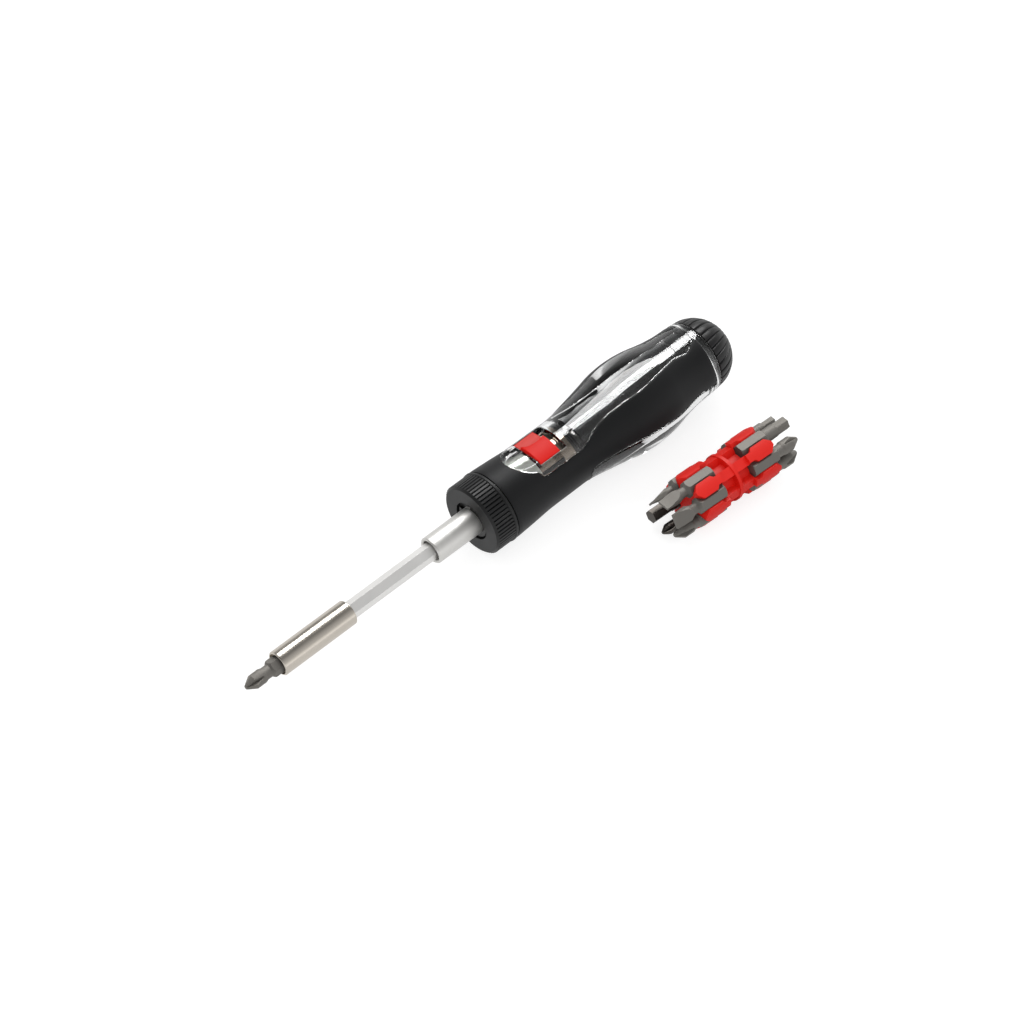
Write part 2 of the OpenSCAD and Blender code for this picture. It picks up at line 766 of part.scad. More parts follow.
// Ball that clicks into the ring's three notches
module detent_ball() {
  color([0.8, 0.8, 0.82]) rotate([detent_angle, 0, 0])
    translate([-detent_at, detent_r, 0]) sphere(r = detent_ball_r);
}

// Spring under the detent ball
module detent_spring() {
  path = coil_path(detent_floor_r + fit / 2, detent_r - detent_ball_r - fit / 2, detent_spring_r,
    small_wire_r, 1.25);
  echo("detent spring least gap", least_gap(path, small_wire_r));
  color([0.7, 0.7, 0.72]) rotate([detent_angle, 0, 0]) translate([-detent_at, 0, 0])
    rotate([0, 0, 90]) wire(path, small_wire_r);
}

// Polished collar with its front tube, which holds the lock balls down
module lock_collar() {
  cup_r = spring_r + spring_wire_r + 5 * fit;
  groove_at = ball_at - slider_travel;
  color([0.86, 0.87, 0.88]) difference() {
    union() {
      rod(-collar_end, -collar_at, collar_r);
      rod(-collar_at - over, -lock_front, lock_tube_r);
    }
    difference() {
      rod(-collar_end - over, -collar_at - collar_wall, cup_r);
      rod(-collar_at - hub_l, -collar_at, lock_tube_r);
    }
    rod(-collar_end - over, -lock_front + over, land_r);
    rod(-groove_at - release_l / 2, -groove_at + release_l / 2, release_r);
  }
}

// Visible return spring between the collar and the partition
module lock_spring() {
  path = coil_path(-partition_at, -collar_at - collar_wall, spring_r, spring_wire_r, spring_turns);
  echo("lock spring least gap", least_gap(path, spring_wire_r));
  color([0.6, 0.6, 0.62]) wire(path, spring_wire_r);
}

// Two balls that lock the blade, one over each of two flats
module lock_balls() {
  color([0.82, 0.82, 0.84]) for (side = pair)
    translate([-ball_at, side * (blade_af / 2 - ball_bite + ball_r), 0]) sphere(r = ball_r);
}

// Red thumb slider with a saddle that pushes the collar
module release_slider() {
  dish_at = slider_at + 0.45 * slider_l;
  color([0.86, 0.14, 0.12]) difference() {
    union() {
      intersection() {
        tube(-slider_at - slider_l, -slider_at, slider_r, slider_in_r);
        sector(-slider_at - slider_l, -slider_at, top_window_at, slider_half, 2 * slider_r);
      }
      intersection() {
        tube(-collar_at + clear / 3, -collar_at + saddle_l, mech_bore_r - fit / 2, lock_tube_r + clear);
        sector(-collar_at, -collar_at + saddle_l, top_window_at, slider_half - saddle_step,
          2 * slider_r);
      }
    }
    rotate([top_window_at - 90, 0, 0])
      translate([-dish_at, 0, slider_r + dish_r - dish_d])
        rotate([90, 0, 0]) cylinder(r = dish_r, h = 2 * slider_r, center = true);
  }
}

// Telescoping hex blade with three pairs of lock dimples
module hex_blade() {
  flat_r = blade_af / 2;
  edge_r = flat_r + blade_chamfer;
  color([0.72, 0.73, 0.75]) difference() {
    intersection() {
      hex_rod(-blade_end, blade_reach, blade_af);
      turned([
        [blade_reach, 0], [blade_reach, flat_r], [blade_reach - blade_chamfer, edge_r],
        [-blade_end + blade_chamfer, edge_r], [-blade_end, flat_r], [-blade_end, 0]
      ]);
    }
    for (side = pair, step = [0, 0.5, 1])
      translate([-ball_at + step * blade_travel, side * (flat_r - ball_bite + ball_r), 0])
        sphere(r = ball_r + fit / 4);
  }
}

// Rolled steel sleeve of the bit holder
module bit_holder() {
  bevel = holder_wall / 2;
  color([0.78, 0.75, 0.72]) difference() {
    turned([
      [holder_at, 0], [holder_at, holder_r - bevel], [holder_at + bevel, holder_r],
      [holder_end - bevel, holder_r], [holder_end, holder_r - bevel], [holder_end, 0]
    ]);
    rod(holder_at - over, holder_end + over, holder_r - holder_wall);
  }
}

// Steel insert with the hex socket
module holder_socket() {
  color([0.45, 0.45, 0.47]) difference() {
    rod(holder_at + holder_wall, holder_end - holder_mouth_d, holder_r - holder_wall);
    hex_rod(holder_at - over, holder_end + over, blade_af + 2 * hex_fit);
  }
}

// Magnet between the blade and the bit
module holder_magnet() {
  color([0.35, 0.35, 0.37]) rod(blade_reach, blade_reach + magnet_l, blade_af / 2 - clear);
}

// Hex shank with a chamfered rear end and a turned neck, from x = 0
module shank(neck_r) {
  intersection() {
    hex_rod(0, shank_l + corner_r, blade_af);
    turned([
      [0, 0], [0, corner_r - shank_chamfer], [shank_chamfer, corner_r + fit],
      [shank_l, corner_r + fit], [shank_l + corner_r - neck_r, neck_r], [shank_l + corner_r, 0]
    ]);
  }
}

// Bit with a flat blade, from its width and thickness, behind a round waist
module slot_bit(size) {
  w = size[0];
  t = size[1];
  waist_r = min(blade_waist_share * w, blade_waist_r);
  waist_end = shank_l + waist_l;
  side = [[shank_l - over, w / 2], [waist_end, w / 2], [bit_l - w / 3, t / 2], [bit_l + over, t / 2]];
  top = [[shank_l - over, w / 2], [bit_l + over, w / 2]];
  union() {
    shank(waist_r);
    intersection() {
      both_sides(side);
      rotate([90, 0, 0]) both_sides(top);
      turned([
        [shank_l, 0], [shank_l, waist_r], [waist_end, waist_r], [waist_end + shoulder_l, w / 2 + clear],
        [bit_l, w / 2 + clear], [bit_l, 0]
      ]);
    }
  }
}

// Prism between an outline and its mirror image, level in y
module both_sides(half) {
  translate([0, 0, -blade_af / 2]) linear_extrude(blade_af)
    polygon(concat(half, [for (i = [len(half) - 1:-1:0]) [half[i][0], -half[i][1]]]));
}

// Bit with four flutes, r at the neck; extra adds the four fine ribs' grooves
module cross_bit(r, extra = false) {
  waist_r = 0.86 * r;
  waist_end = shank_l + waist_l;
  point_l = cross_point_share * tip_l * r / cross_3_r;
  flute_l = cross_flute_share * tip_l * r / cross_3_r;
  cut_w = 2 * r;
  difference() {
    union() {
      shank(waist_r);
      turned([
        [shank_l, 0], [shank_l, waist_r], [waist_end, waist_r], [waist_end + waist_l / 3, r],
        [bit_l - point_l, r], [bit_l - point_l * 0.12, r * 0.36], [bit_l, r * 0.26], [bit_l, 0]
      ]);
    }
    for (k = [0:3]) rotate([45 + 90 * k, 0, 0]) translate([bit_l, 0, r * 0.26])
      rotate([0, 14, 0]) rotate([45, 0, 0]) translate([-flute_l, 0, 0])
        cube([flute_l + r, cut_w, cut_w]);
    if (extra) for (k = [0:3]) rotate([90 * k, 0, 0]) translate([bit_l, 0, r * 0.52])
      rotate([0, 30, 0]) rotate([45, 0, 0]) translate([-r, 0, 0]) cube([2 * r, r / 2, r / 2]);
  }
}

// Bit with six rounded lobes, r over the lobes
module hexalobe_bit(r) {
  waist_share = 0.14;
  union() {
    shank(max(r, 0.42 * blade_af));
    rod(shank_l, bit_l - hexalobe_l, max(r, 0.36 * blade_af));
    translate([bit_l - hexalobe_l - over, 0, 0]) rotate(lengthwise) linear_extrude(hexalobe_l + over)
      polygon([for (a = [0:7.5:359]) r * (1 - waist_share * (1 - cos(6 * a)) / 2) * [cos(a), sin(a)]]);
  }
}

// Bit with a hexagonal point
module hex_bit(af) {
  union() {
    shank(0.45 * blade_af);
    rod(shank_l, shank_l + hex_collar_l, 0.45 * blade_af);
    hex_rod(shank_l + hex_collar_l - over, bit_l, af);
  }
}

// Bit that stands in the holder
module drive_bit() {
  color([0.45, 0.43, 0.42]) translate([blade_reach + magnet_l + clear / 2, 0, 0])
    cross_bit(cross_2_r);
}

// Frame of the magazine where it lies beside the handle
module at_magazine() {
  translate([mag_x, mag_y, mag_z]) rotate([0, 0, mag_yaw]) rotate([0, -floor_slope, 0])
    rotate([mag_roll, 0, 0]) children();
}

// Seat of one bit: six places round the front end, where end = 1, and six round the rear end
module bit_seat(place, end) {
  at_magazine() rotate([60 * place, 0, 0]) translate([0, mag_pitch_r, 0])
    rotate([0, 0, end > 0 ? 0 : 180]) translate([mag_half + clear / 2, 0, 0]) children();
}

// Red carrier: core, ring, spars and fins, and the clip pads between the bits
module magazine_body() {
  half = mag_half;
  color([0.85, 0.13, 0.1]) at_magazine() difference() {
    union() {
      rotate([seam_turn, 0, 0]) {
        rod(-half, half, mag_core_r);
        rod(-mag_end, mag_end, mag_root_r);
        tube(-mag_ring_w / 2, mag_ring_w / 2, mag_ring_r, mag_core_r - over);
      }
      for (k = [0:5]) rotate([60 * k + 30, 0, 0]) {
        translate([-half, mag_core_r - over, -mag_spar_w / 2])
          cube([2 * half, mag_ring_r - mag_core_r, mag_spar_w]);
        translate([-mag_end, 0, -mag_fin_t / 2 - clear])
          cube([2 * mag_end, mag_ring_r - over, mag_fin_t + 2 * clear]);
      }
      for (k = [0:5], side = pair) intersection() {
        rotate([seam_turn, 0, 0]) pad_ring(side);
        rotate([60 * k, 0, 0]) outward(90, 2 * mag_pad_r) mirror([side > 0 ? 0 : 1, 0, 0]) pad_plan();
      }
    }
    for (k = [0:5]) rotate([60 * k, 0, 0]) translate([0, mag_pitch_r, 0]) for (side = pair)
      hex_rod(side > 0 ? half - fit : -bit_l - half, side > 0 ? bit_l + half : fit - half,
        blade_af + 2 * fit);
  }
}

// Ring of the clip pads at one end
module pad_ring(side) {
  inner = mag_half - over;
  outer = mag_end + over;
  tube(side > 0 ? inner : -outer, side > 0 ? outer : -inner, mag_pad_r, mag_pitch_r);
}

// Outline of a clip pad, with cut corners
module pad_plan() {
  from = mag_half + mag_pad_gap;
  to = mag_end;
  w = mag_pad_r * sin(mag_pad_angle);
  cut = mag_pad_l * 0.22;
  neck = 0.45 * mag_spar_w;
  polygon([
    [mag_half - over, neck], [from, neck], [from + cut / 2, w], [to - cut, w], [to, w - cut],
    [to, cut - w], [to - cut, -w], [from + cut / 2, -w], [from, -neck], [mag_half - over, -neck]
  ]);
}

module bit_slot_6() {
  color([0.5, 0.48, 0.46]) bit_seat(0, 1) slot_bit(slot_6);
}

module bit_slot_5() {
  color([0.5, 0.48, 0.46]) bit_seat(1, 1) slot_bit(slot_5);
}

module bit_slot_4() {
  color([0.5, 0.48, 0.46]) bit_seat(2, 1) slot_bit(slot_4);
}

module bit_hex_5() {
  color([0.4, 0.38, 0.37]) bit_seat(3, 1) hex_bit(hex_5);
}

module bit_cross_1() {
  color([0.4, 0.38, 0.37]) bit_seat(4, 1) cross_bit(cross_1_r);
}

module bit_cross_3() {
  color([0.5, 0.48, 0.46]) bit_seat(5, 1) cross_bit(cross_3_r);
}

module bit_double_cross_2() {
  color([0.5, 0.48, 0.46]) bit_seat(0, -1) cross_bit(double_cross_2_r, true);
}

module bit_hexalobe_30() {
  color([0.5, 0.48, 0.46]) bit_seat(1, -1) hexalobe_bit(hexalobe_30_r);
}

module bit_hexalobe_20() {
  color([0.5, 0.48, 0.46]) bit_seat(2, -1) hexalobe_bit(hexalobe_20_r);
}

module bit_hex_4() {
  color([0.5, 0.48, 0.46]) bit_seat(3, -1) hex_bit(hex_4);
}

module bit_hexalobe_10() {
  color([0.5, 0.48, 0.46]) bit_seat(4, -1) hexalobe_bit(hexalobe_10_r);
}

module bit_double_cross_3() {
  color([0.5, 0.48, 0.46]) bit_seat(5, -1) cross_bit(cross_3_r, true);
}

// Latch tongue of the cap, widened and lengthened for its slot in the handle
module tongue(width, extra, r_in, r_out) {
  tip = -skirt_at + tongue_l + extra;
  intersection() {
    tube(-skirt_at - over, tip, r_out, r_in);
    outward(top_window_at, 2 * r_out) union() {
      translate([-skirt_at - over, -width / 2]) square([tongue_l + extra - width / 2 + over, width]);
      translate([tip - width / 2, 0]) circle(d = width);
    }
  }
}

// Quarter of the dome's outline as [station, radius] points
function dome_points(radius, depth) =
  [for (a = [0:7.5:90]) [-cap_at - depth * sin(a), radius * cos(a)]];

// Hard inner part of the cap: skirt, latch tongue and the core under the soft cover
module cap_carrier() {
  color([0.15, 0.15, 0.16]) union() {
    difference() {
      union() {
        rod(-cap_at, -skirt_at, skirt_r);
        turned(concat([[-cap_at + fit, 0], [-cap_at + fit, cap_core_r]],
          dome_points(cap_core_r, cap_core_l)));
      }
      rod(-cup_end, -skirt_at + over, skirt_r - skirt_wall);
      turned(concat([[-cap_at, 0]], dome_points(cap_core_r - cap_wall, cap_core_l - cap_wall)));
      rod(-cap_end, -cap_at, cap_hole_r);
    }
    tongue(tongue_w, 0, tongue_in_r, tongue_out_r);
  }
}

// Soft cover of the dome
module cap_dome() {
  plug_at = cap_at + cap_core_l - cap_wall;
  color([0.12, 0.12, 0.13]) union() {
    difference() {
      turned(concat([[-cap_at, 0]], dome_points(dome_r, dome_l)));
      turned(concat([[over, 0], [over, cap_core_r]], dome_points(cap_core_r, cap_core_l)));
    }
    rod(-cap_at - cap_core_l - dome_t / 2, -plug_at, cap_hole_r);
  }
}

handle_shell();
chamber_liner();
grip_overmould();
selector_ring();
ratchet_housing();
cover_plate();
ratchet_gear();
spindle_tube();
retaining_clip();
thrust_washer();
rear_bush();
pawl_pins();
pawl_left();
pawl_right();
pawl_spring_left();
pawl_spring_right();
detent_ball();
detent_spring();
lock_collar();
lock_spring();
lock_balls();
release_slider();
hex_blade();
bit_holder();
holder_socket();
holder_magnet();
drive_bit();
cap_carrier();
cap_dome();
magazine_body();
bit_slot_6();
bit_slot_5();
bit_slot_4();
bit_hex_5();
bit_cross_1();
bit_cross_3();
bit_double_cross_2();
bit_hexalobe_30();
bit_hexalobe_20();
bit_hex_4();
bit_hexalobe_10();
bit_double_cross_3();
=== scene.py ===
"""Looks of a ratcheting screwdriver with a loose bit magazine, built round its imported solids.

Each sub-assembly is a class that holds its sizes and builds its meshes, and each finish is a frozen
dataclass. Lengths in the classes are in millimetres, and MM turns them to metres.
"""

import json
import logging
import math
from dataclasses import dataclass
from enum import Enum
from typing import Any, Sequence

import bmesh
import bpy
import numpy as np
from mathutils import Matrix, Vector
from mathutils.geometry import delaunay_2d_cdt

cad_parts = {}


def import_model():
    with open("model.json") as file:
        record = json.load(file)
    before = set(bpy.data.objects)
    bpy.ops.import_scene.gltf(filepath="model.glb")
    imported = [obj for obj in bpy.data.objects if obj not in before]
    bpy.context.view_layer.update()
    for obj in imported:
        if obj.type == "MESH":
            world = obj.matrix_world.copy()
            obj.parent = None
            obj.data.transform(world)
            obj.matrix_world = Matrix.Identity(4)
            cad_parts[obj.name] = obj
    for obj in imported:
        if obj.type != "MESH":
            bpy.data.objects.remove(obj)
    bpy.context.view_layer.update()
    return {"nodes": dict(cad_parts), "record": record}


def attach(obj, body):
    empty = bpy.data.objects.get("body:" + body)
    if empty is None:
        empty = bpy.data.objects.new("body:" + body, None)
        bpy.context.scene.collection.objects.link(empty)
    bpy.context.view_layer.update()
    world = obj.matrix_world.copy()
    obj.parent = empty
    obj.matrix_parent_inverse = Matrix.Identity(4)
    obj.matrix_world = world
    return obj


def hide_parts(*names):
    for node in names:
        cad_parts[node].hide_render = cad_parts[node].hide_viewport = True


Outline = tuple[tuple[float, float], ...]

MM = 0.001
FRAME_PX = 1024
SENSOR_MM = 36.0
# Further than any distance here, and a length that keeps a division from zero, both in millimetres.
FAR = 1e3
TINY = 1e-9
log = logging.getLogger("screwdriver")


def linear(code: str) -> tuple[float, float, float, float]:
    """Turns an sRGB hex value to linear light.

    Args:
        code: six hex digits after a hash sign.

    Returns:
        Red, green, blue and an opaque alpha.
    """
    parts = [int(code[i : i + 2], 16) / 255 for i in (1, 3, 5)]
    return tuple(c / 12.92 if c <= 0.04045 else ((c + 0.055) / 1.055) ** 2.4 for c in parts) + (1.0,)


def add_node(tree: bpy.types.NodeTree, kind: str, inputs: dict[Any, Any], **settings: Any) -> bpy.types.Node:
    """Adds a node with its settings and links.

    Args:
        tree: the node tree that takes it.
        kind: the node's type name.
        inputs: a value, or a socket to link, for each input by name or number.
        settings: the node's own properties.

    Returns:
        The new node.
    """
    node = tree.nodes.new(kind)
    for key, value in settings.items():
        setattr(node, key, value)
    for key, value in inputs.items():
        if isinstance(value, bpy.types.NodeSocket):
            tree.links.new(value, node.inputs[key])
        else:
            node.inputs[key].default_value = value
    return node


class Grain(Enum):
    """How a finish's fine pattern runs: even in all directions, round the drive axis, or along it."""

    EVEN = (1.0, 1.0, 1.0)
    ROUND = (1.0, 0.04, 0.04)
    ALONG = (0.03, 1.0, 1.0)


@dataclass(frozen=True)
class Finish:
    """A surface finish, from its colour, gloss and the size of its grain.

    Args:
        name: the material's name.
        color: its sRGB colour.
        shade: how much darker the grain's low places are, as a share.
        roughness: the roughness of the smoothest places.
        rough_more: what the grain adds to the roughness.
        grain_mm: the size of a grain, or the spacing of the lines.
        bump_mm: the height of the grain.
        grain: how the grain runs.

    The pattern is fine noise times broad noise, plus LIFT. The broad noise is BROAD grains wide.
    """

    BROAD = 24
    LIFT = 0.2

    name: str
    color: str
    shade: float = 0.15
    roughness: float = 0.4
    rough_more: float = 0.1
    grain_mm: float = 0.6
    bump_mm: float = 0.01
    grain: Grain = Grain.EVEN

    def sockets(self) -> dict[str, Any]:
        """Gives the constants of the shader, such as its metalness and IOR."""
        return {}

    def material(self) -> bpy.types.Material:
        """Builds the node material once, and gives it back after that.

        Returns:
            The material.
        """
        found = bpy.data.materials.get(self.name)
        if found:
            return found
        made = bpy.data.materials.new(self.name)
        made.use_nodes = True
        tree = made.node_tree
        tree.nodes.clear()
        place = add_node(tree, "ShaderNodeTexCoord", {})
        turn = self.grain.value
        run = add_node(tree, "ShaderNodeMapping", {"Vector": place.outputs["Object"], "Scale": turn})
        fine = add_node(
            tree,
            "ShaderNodeTexNoise",
            {
                "Vector": run.outputs["Vector"],
                "Scale": 1 / (self.grain_mm * MM),
                "Detail": 3.0,
                "Roughness": 0.6,
            },
        )
        broad = add_node(
            tree,
            "ShaderNodeTexNoise",
            {
                "Vector": place.outputs["Object"],
                "Scale": 1 / (self.BROAD * self.grain_mm * MM),
                "Detail": 2.0,
            },
        )
        both = add_node(
            tree,
            "ShaderNodeMath",
            {0: fine.outputs["Fac"], 1: broad.outputs["Fac"], 2: self.LIFT},
            operation="MULTIPLY_ADD",
        )
        light = linear(self.color)
        low = tuple(c * (1 - self.shade) for c in light[:3]) + (1.0,)
        tone = add_node(
            tree,
            "ShaderNodeMix",
            {"Factor": both.outputs["Value"], 6: low, 7: light},
            data_type="RGBA",
            clamp_factor=True,
        )
        rough = add_node(
            tree,
            "ShaderNodeMapRange",
            {
                "Value": both.outputs["Value"],
                "From Min": 0.2,
                "From Max": 0.8,
                "To Min": self.roughness,
                "To Max": self.roughness + self.rough_more,
            },
        )
        bump = add_node(
            tree,
            "ShaderNodeBump",
            {"Height": fine.outputs["Fac"], "Strength": 0.6, "Distance": self.bump_mm * MM},
        )
        shader = add_node(
            tree,
            "ShaderNodeBsdfPrincipled",
            {
                "Base Color": tone.outputs[2],
                "Roughness": rough.outputs["Result"],
                "Normal": bump.outputs["Normal"],
                **self.sockets(),
            },
        )
        add_node(tree, "ShaderNodeOutputMaterial", {"Surface": shader.outputs["BSDF"]})
        return made


@dataclass(frozen=True)
class Metal(Finish):
    """A bare or plated metal, with the default IOR."""

    def sockets(self) -> dict[str, Any]:
        """Gives a full metalness."""
        return {"Metallic": 1.0}


@dataclass(frozen=True)
class Plastic(Finish):
    """A moulded plastic or rubber.

    Args:
        ior: its index of refraction.
        level: the strength of its mirror part, 0.5 at the IOR's own.
        sheen: a soft glow at grazing angles, on rubber.
    """

    ior: float = 1.5
    level: float = 0.5
    sheen: float = 0.0

    def sockets(self) -> dict[str, Any]:
        """Gives the IOR, the mirror part and the sheen."""
        return {"IOR": self.ior, "Specular IOR Level": self.level, "Sheen Weight": self.sheen}


@dataclass(frozen=True)
class Clear(Finish):
    """A clear moulded plastic that lets light through.

    Args:
        ior: its index of refraction.
    """

    ior: float = 1.58

    def sockets(self) -> dict[str, Any]:
        """Gives a full transmission."""
        return {"IOR": self.ior, "Transmission Weight": 1.0}


# Polycarbonate from a polished mould: a clear body, its edges bright, with hardly any grain.
CLEAR_PC = Clear("clear_polycarbonate", "#fbfcfc", 0.02, 0.0, 0.012, 1.2, 0.0005)
# Soft thermoplastic elastomer, moulded over the body: matt near-black that takes broad soft highlights.
SOFT_TPE = Plastic("soft_elastomer", "#0f1012", 0.25, 0.46, 0.12, 0.5, 0.012, level=0.22, sheen=0.02)
# The same elastomer on the cap, from a finer mould.
CAP_TPE = Plastic("cap_elastomer", "#161617", 0.25, 0.38, 0.1, 0.45, 0.01, level=0.35)
# Polystyrene tube, extruded in black: smooth, with a clean gloss.
DARK_PS = Plastic("extruded_black_polystyrene", "#0b0b0c", 0.2, 0.16, 0.06, 0.8, 0.002, ior=1.59)
# Glass-filled nylon from a spark-eroded mould: dark grey with a dry satin.
NYLON = Plastic("moulded_nylon", "#141516", 0.3, 0.4, 0.14, 0.45, 0.015, ior=1.53, level=0.3)
# Carbon steel with satin chrome, turned: fine rings round it that draw the highlight out along it.
SATIN_CHROME = Metal("turned_satin_chrome", "#d6d5d2", 0.1, 0.42, 0.1, 0.35, 0.002, Grain.ROUND)
# The hex blade, drawn and satin chromed: fine lines along it.
BLADE_CHROME = Metal("drawn_satin_chrome", "#e6e5e3", 0.08, 0.46, 0.1, 0.35, 0.002, Grain.ALONG)
# Bright nickel, polished: a mirror with a warm grey-brown cast.
BRIGHT_NICKEL = Metal("polished_nickel", "#a99b8d", 0.06, 0.06, 0.04, 0.6, 0.0005, Grain.ROUND)
# Die-cast zinc with a clear passivate: silvery with a cold cast.
CAST_ZINC = Metal("passivated_zinc", "#e9ece4", 0.08, 0.32, 0.1, 0.5, 0.004)
# Hardened steel, ground.
GROUND_STEEL = Metal("ground_steel", "#a9a7a3", 0.15, 0.24, 0.1, 0.3, 0.003, Grain.ROUND)
# Spring wire, drawn and oiled.
SPRING_WIRE = Metal("drawn_spring_wire", "#6f6d6a", 0.2, 0.24, 0.1, 0.3, 0.002)
# Black-oxided spring steel: nearly black with an oily gloss.
BLACK_OXIDE = Metal("black_oxide_steel", "#232323", 0.3, 0.2, 0.1, 0.4, 0.003)
# Stainless sheet, rolled to a tube: warm grey, with lines along the rolling direction.
ROLLED_STEEL = Metal("rolled_stainless", "#c9c2b8", 0.16, 0.18, 0.1, 0.3, 0.004, Grain.ALONG)
# Tool steel, blasted and phosphated: grey-brown with a fine even grain.
BLASTED_STEEL = Metal("blasted_tool_steel", "#8d8a85", 0.26, 0.66, 0.14, 0.4, 0.012)
# The same steel with a dark phosphate.
DARK_STEEL = Metal("dark_phosphated_steel", "#55514d", 0.3, 0.34, 0.14, 0.4, 0.012)
# ABS in signal red from a satin mould, for the slider.
RED_ABS = Plastic("satin_red_abs", "#de180f", 0.1, 0.44, 0.08, 0.5, 0.006, level=0.14)
# The slider's thumb scoop: a coarser spark-eroded grain with a dry satin, and a paler red that is a painted
# sheen where the scoop catches the light.
SHEEN_PAINTED_ABS = Plastic("red_abs_painted_sheen", "#e03226", 0.2, 0.42, 0.14, 0.4, 0.03, level=0.4, sheen=0.08)
# The magazine's polypropylene: softer gloss, a warmer red.
RED_PP = Plastic("moulded_red_polypropylene", "#ea1f14", 0.12, 0.46, 0.12, 0.6, 0.01, ior=1.49, level=0.26)
# Sintered steel, oil-soaked: dark with fine pores.
SINTERED = Metal("oiled_sintered_steel", "#5a5855", 0.3, 0.38, 0.12, 0.4, 0.012)
# Nickel-plated magnet.
NICKEL = Metal("nickel_plate", "#b7b2a8", 0.08, 0.16, 0.08, 0.5, 0.001)

# What each carried-over solid is made of.
CARRIED: dict[str, Finish] = {
    "chamber_liner": DARK_PS,
    "ratchet_housing": CAST_ZINC,
    "cover_plate": CAST_ZINC,
    "ratchet_gear": GROUND_STEEL,
    "thrust_washer": GROUND_STEEL,
    "rear_bush": SINTERED,
    "pawl_pins": GROUND_STEEL,
    "pawl_left": GROUND_STEEL,
    "pawl_right": GROUND_STEEL,
    "pawl_spring_left": SPRING_WIRE,
    "pawl_spring_right": SPRING_WIRE,
    "detent_ball": GROUND_STEEL,
    "detent_spring": SPRING_WIRE,
    "lock_spring": SPRING_WIRE,
    "lock_balls": GROUND_STEEL,
    "holder_socket": ROLLED_STEEL,
    "holder_magnet": NICKEL,
    "cap_carrier": NYLON,
}


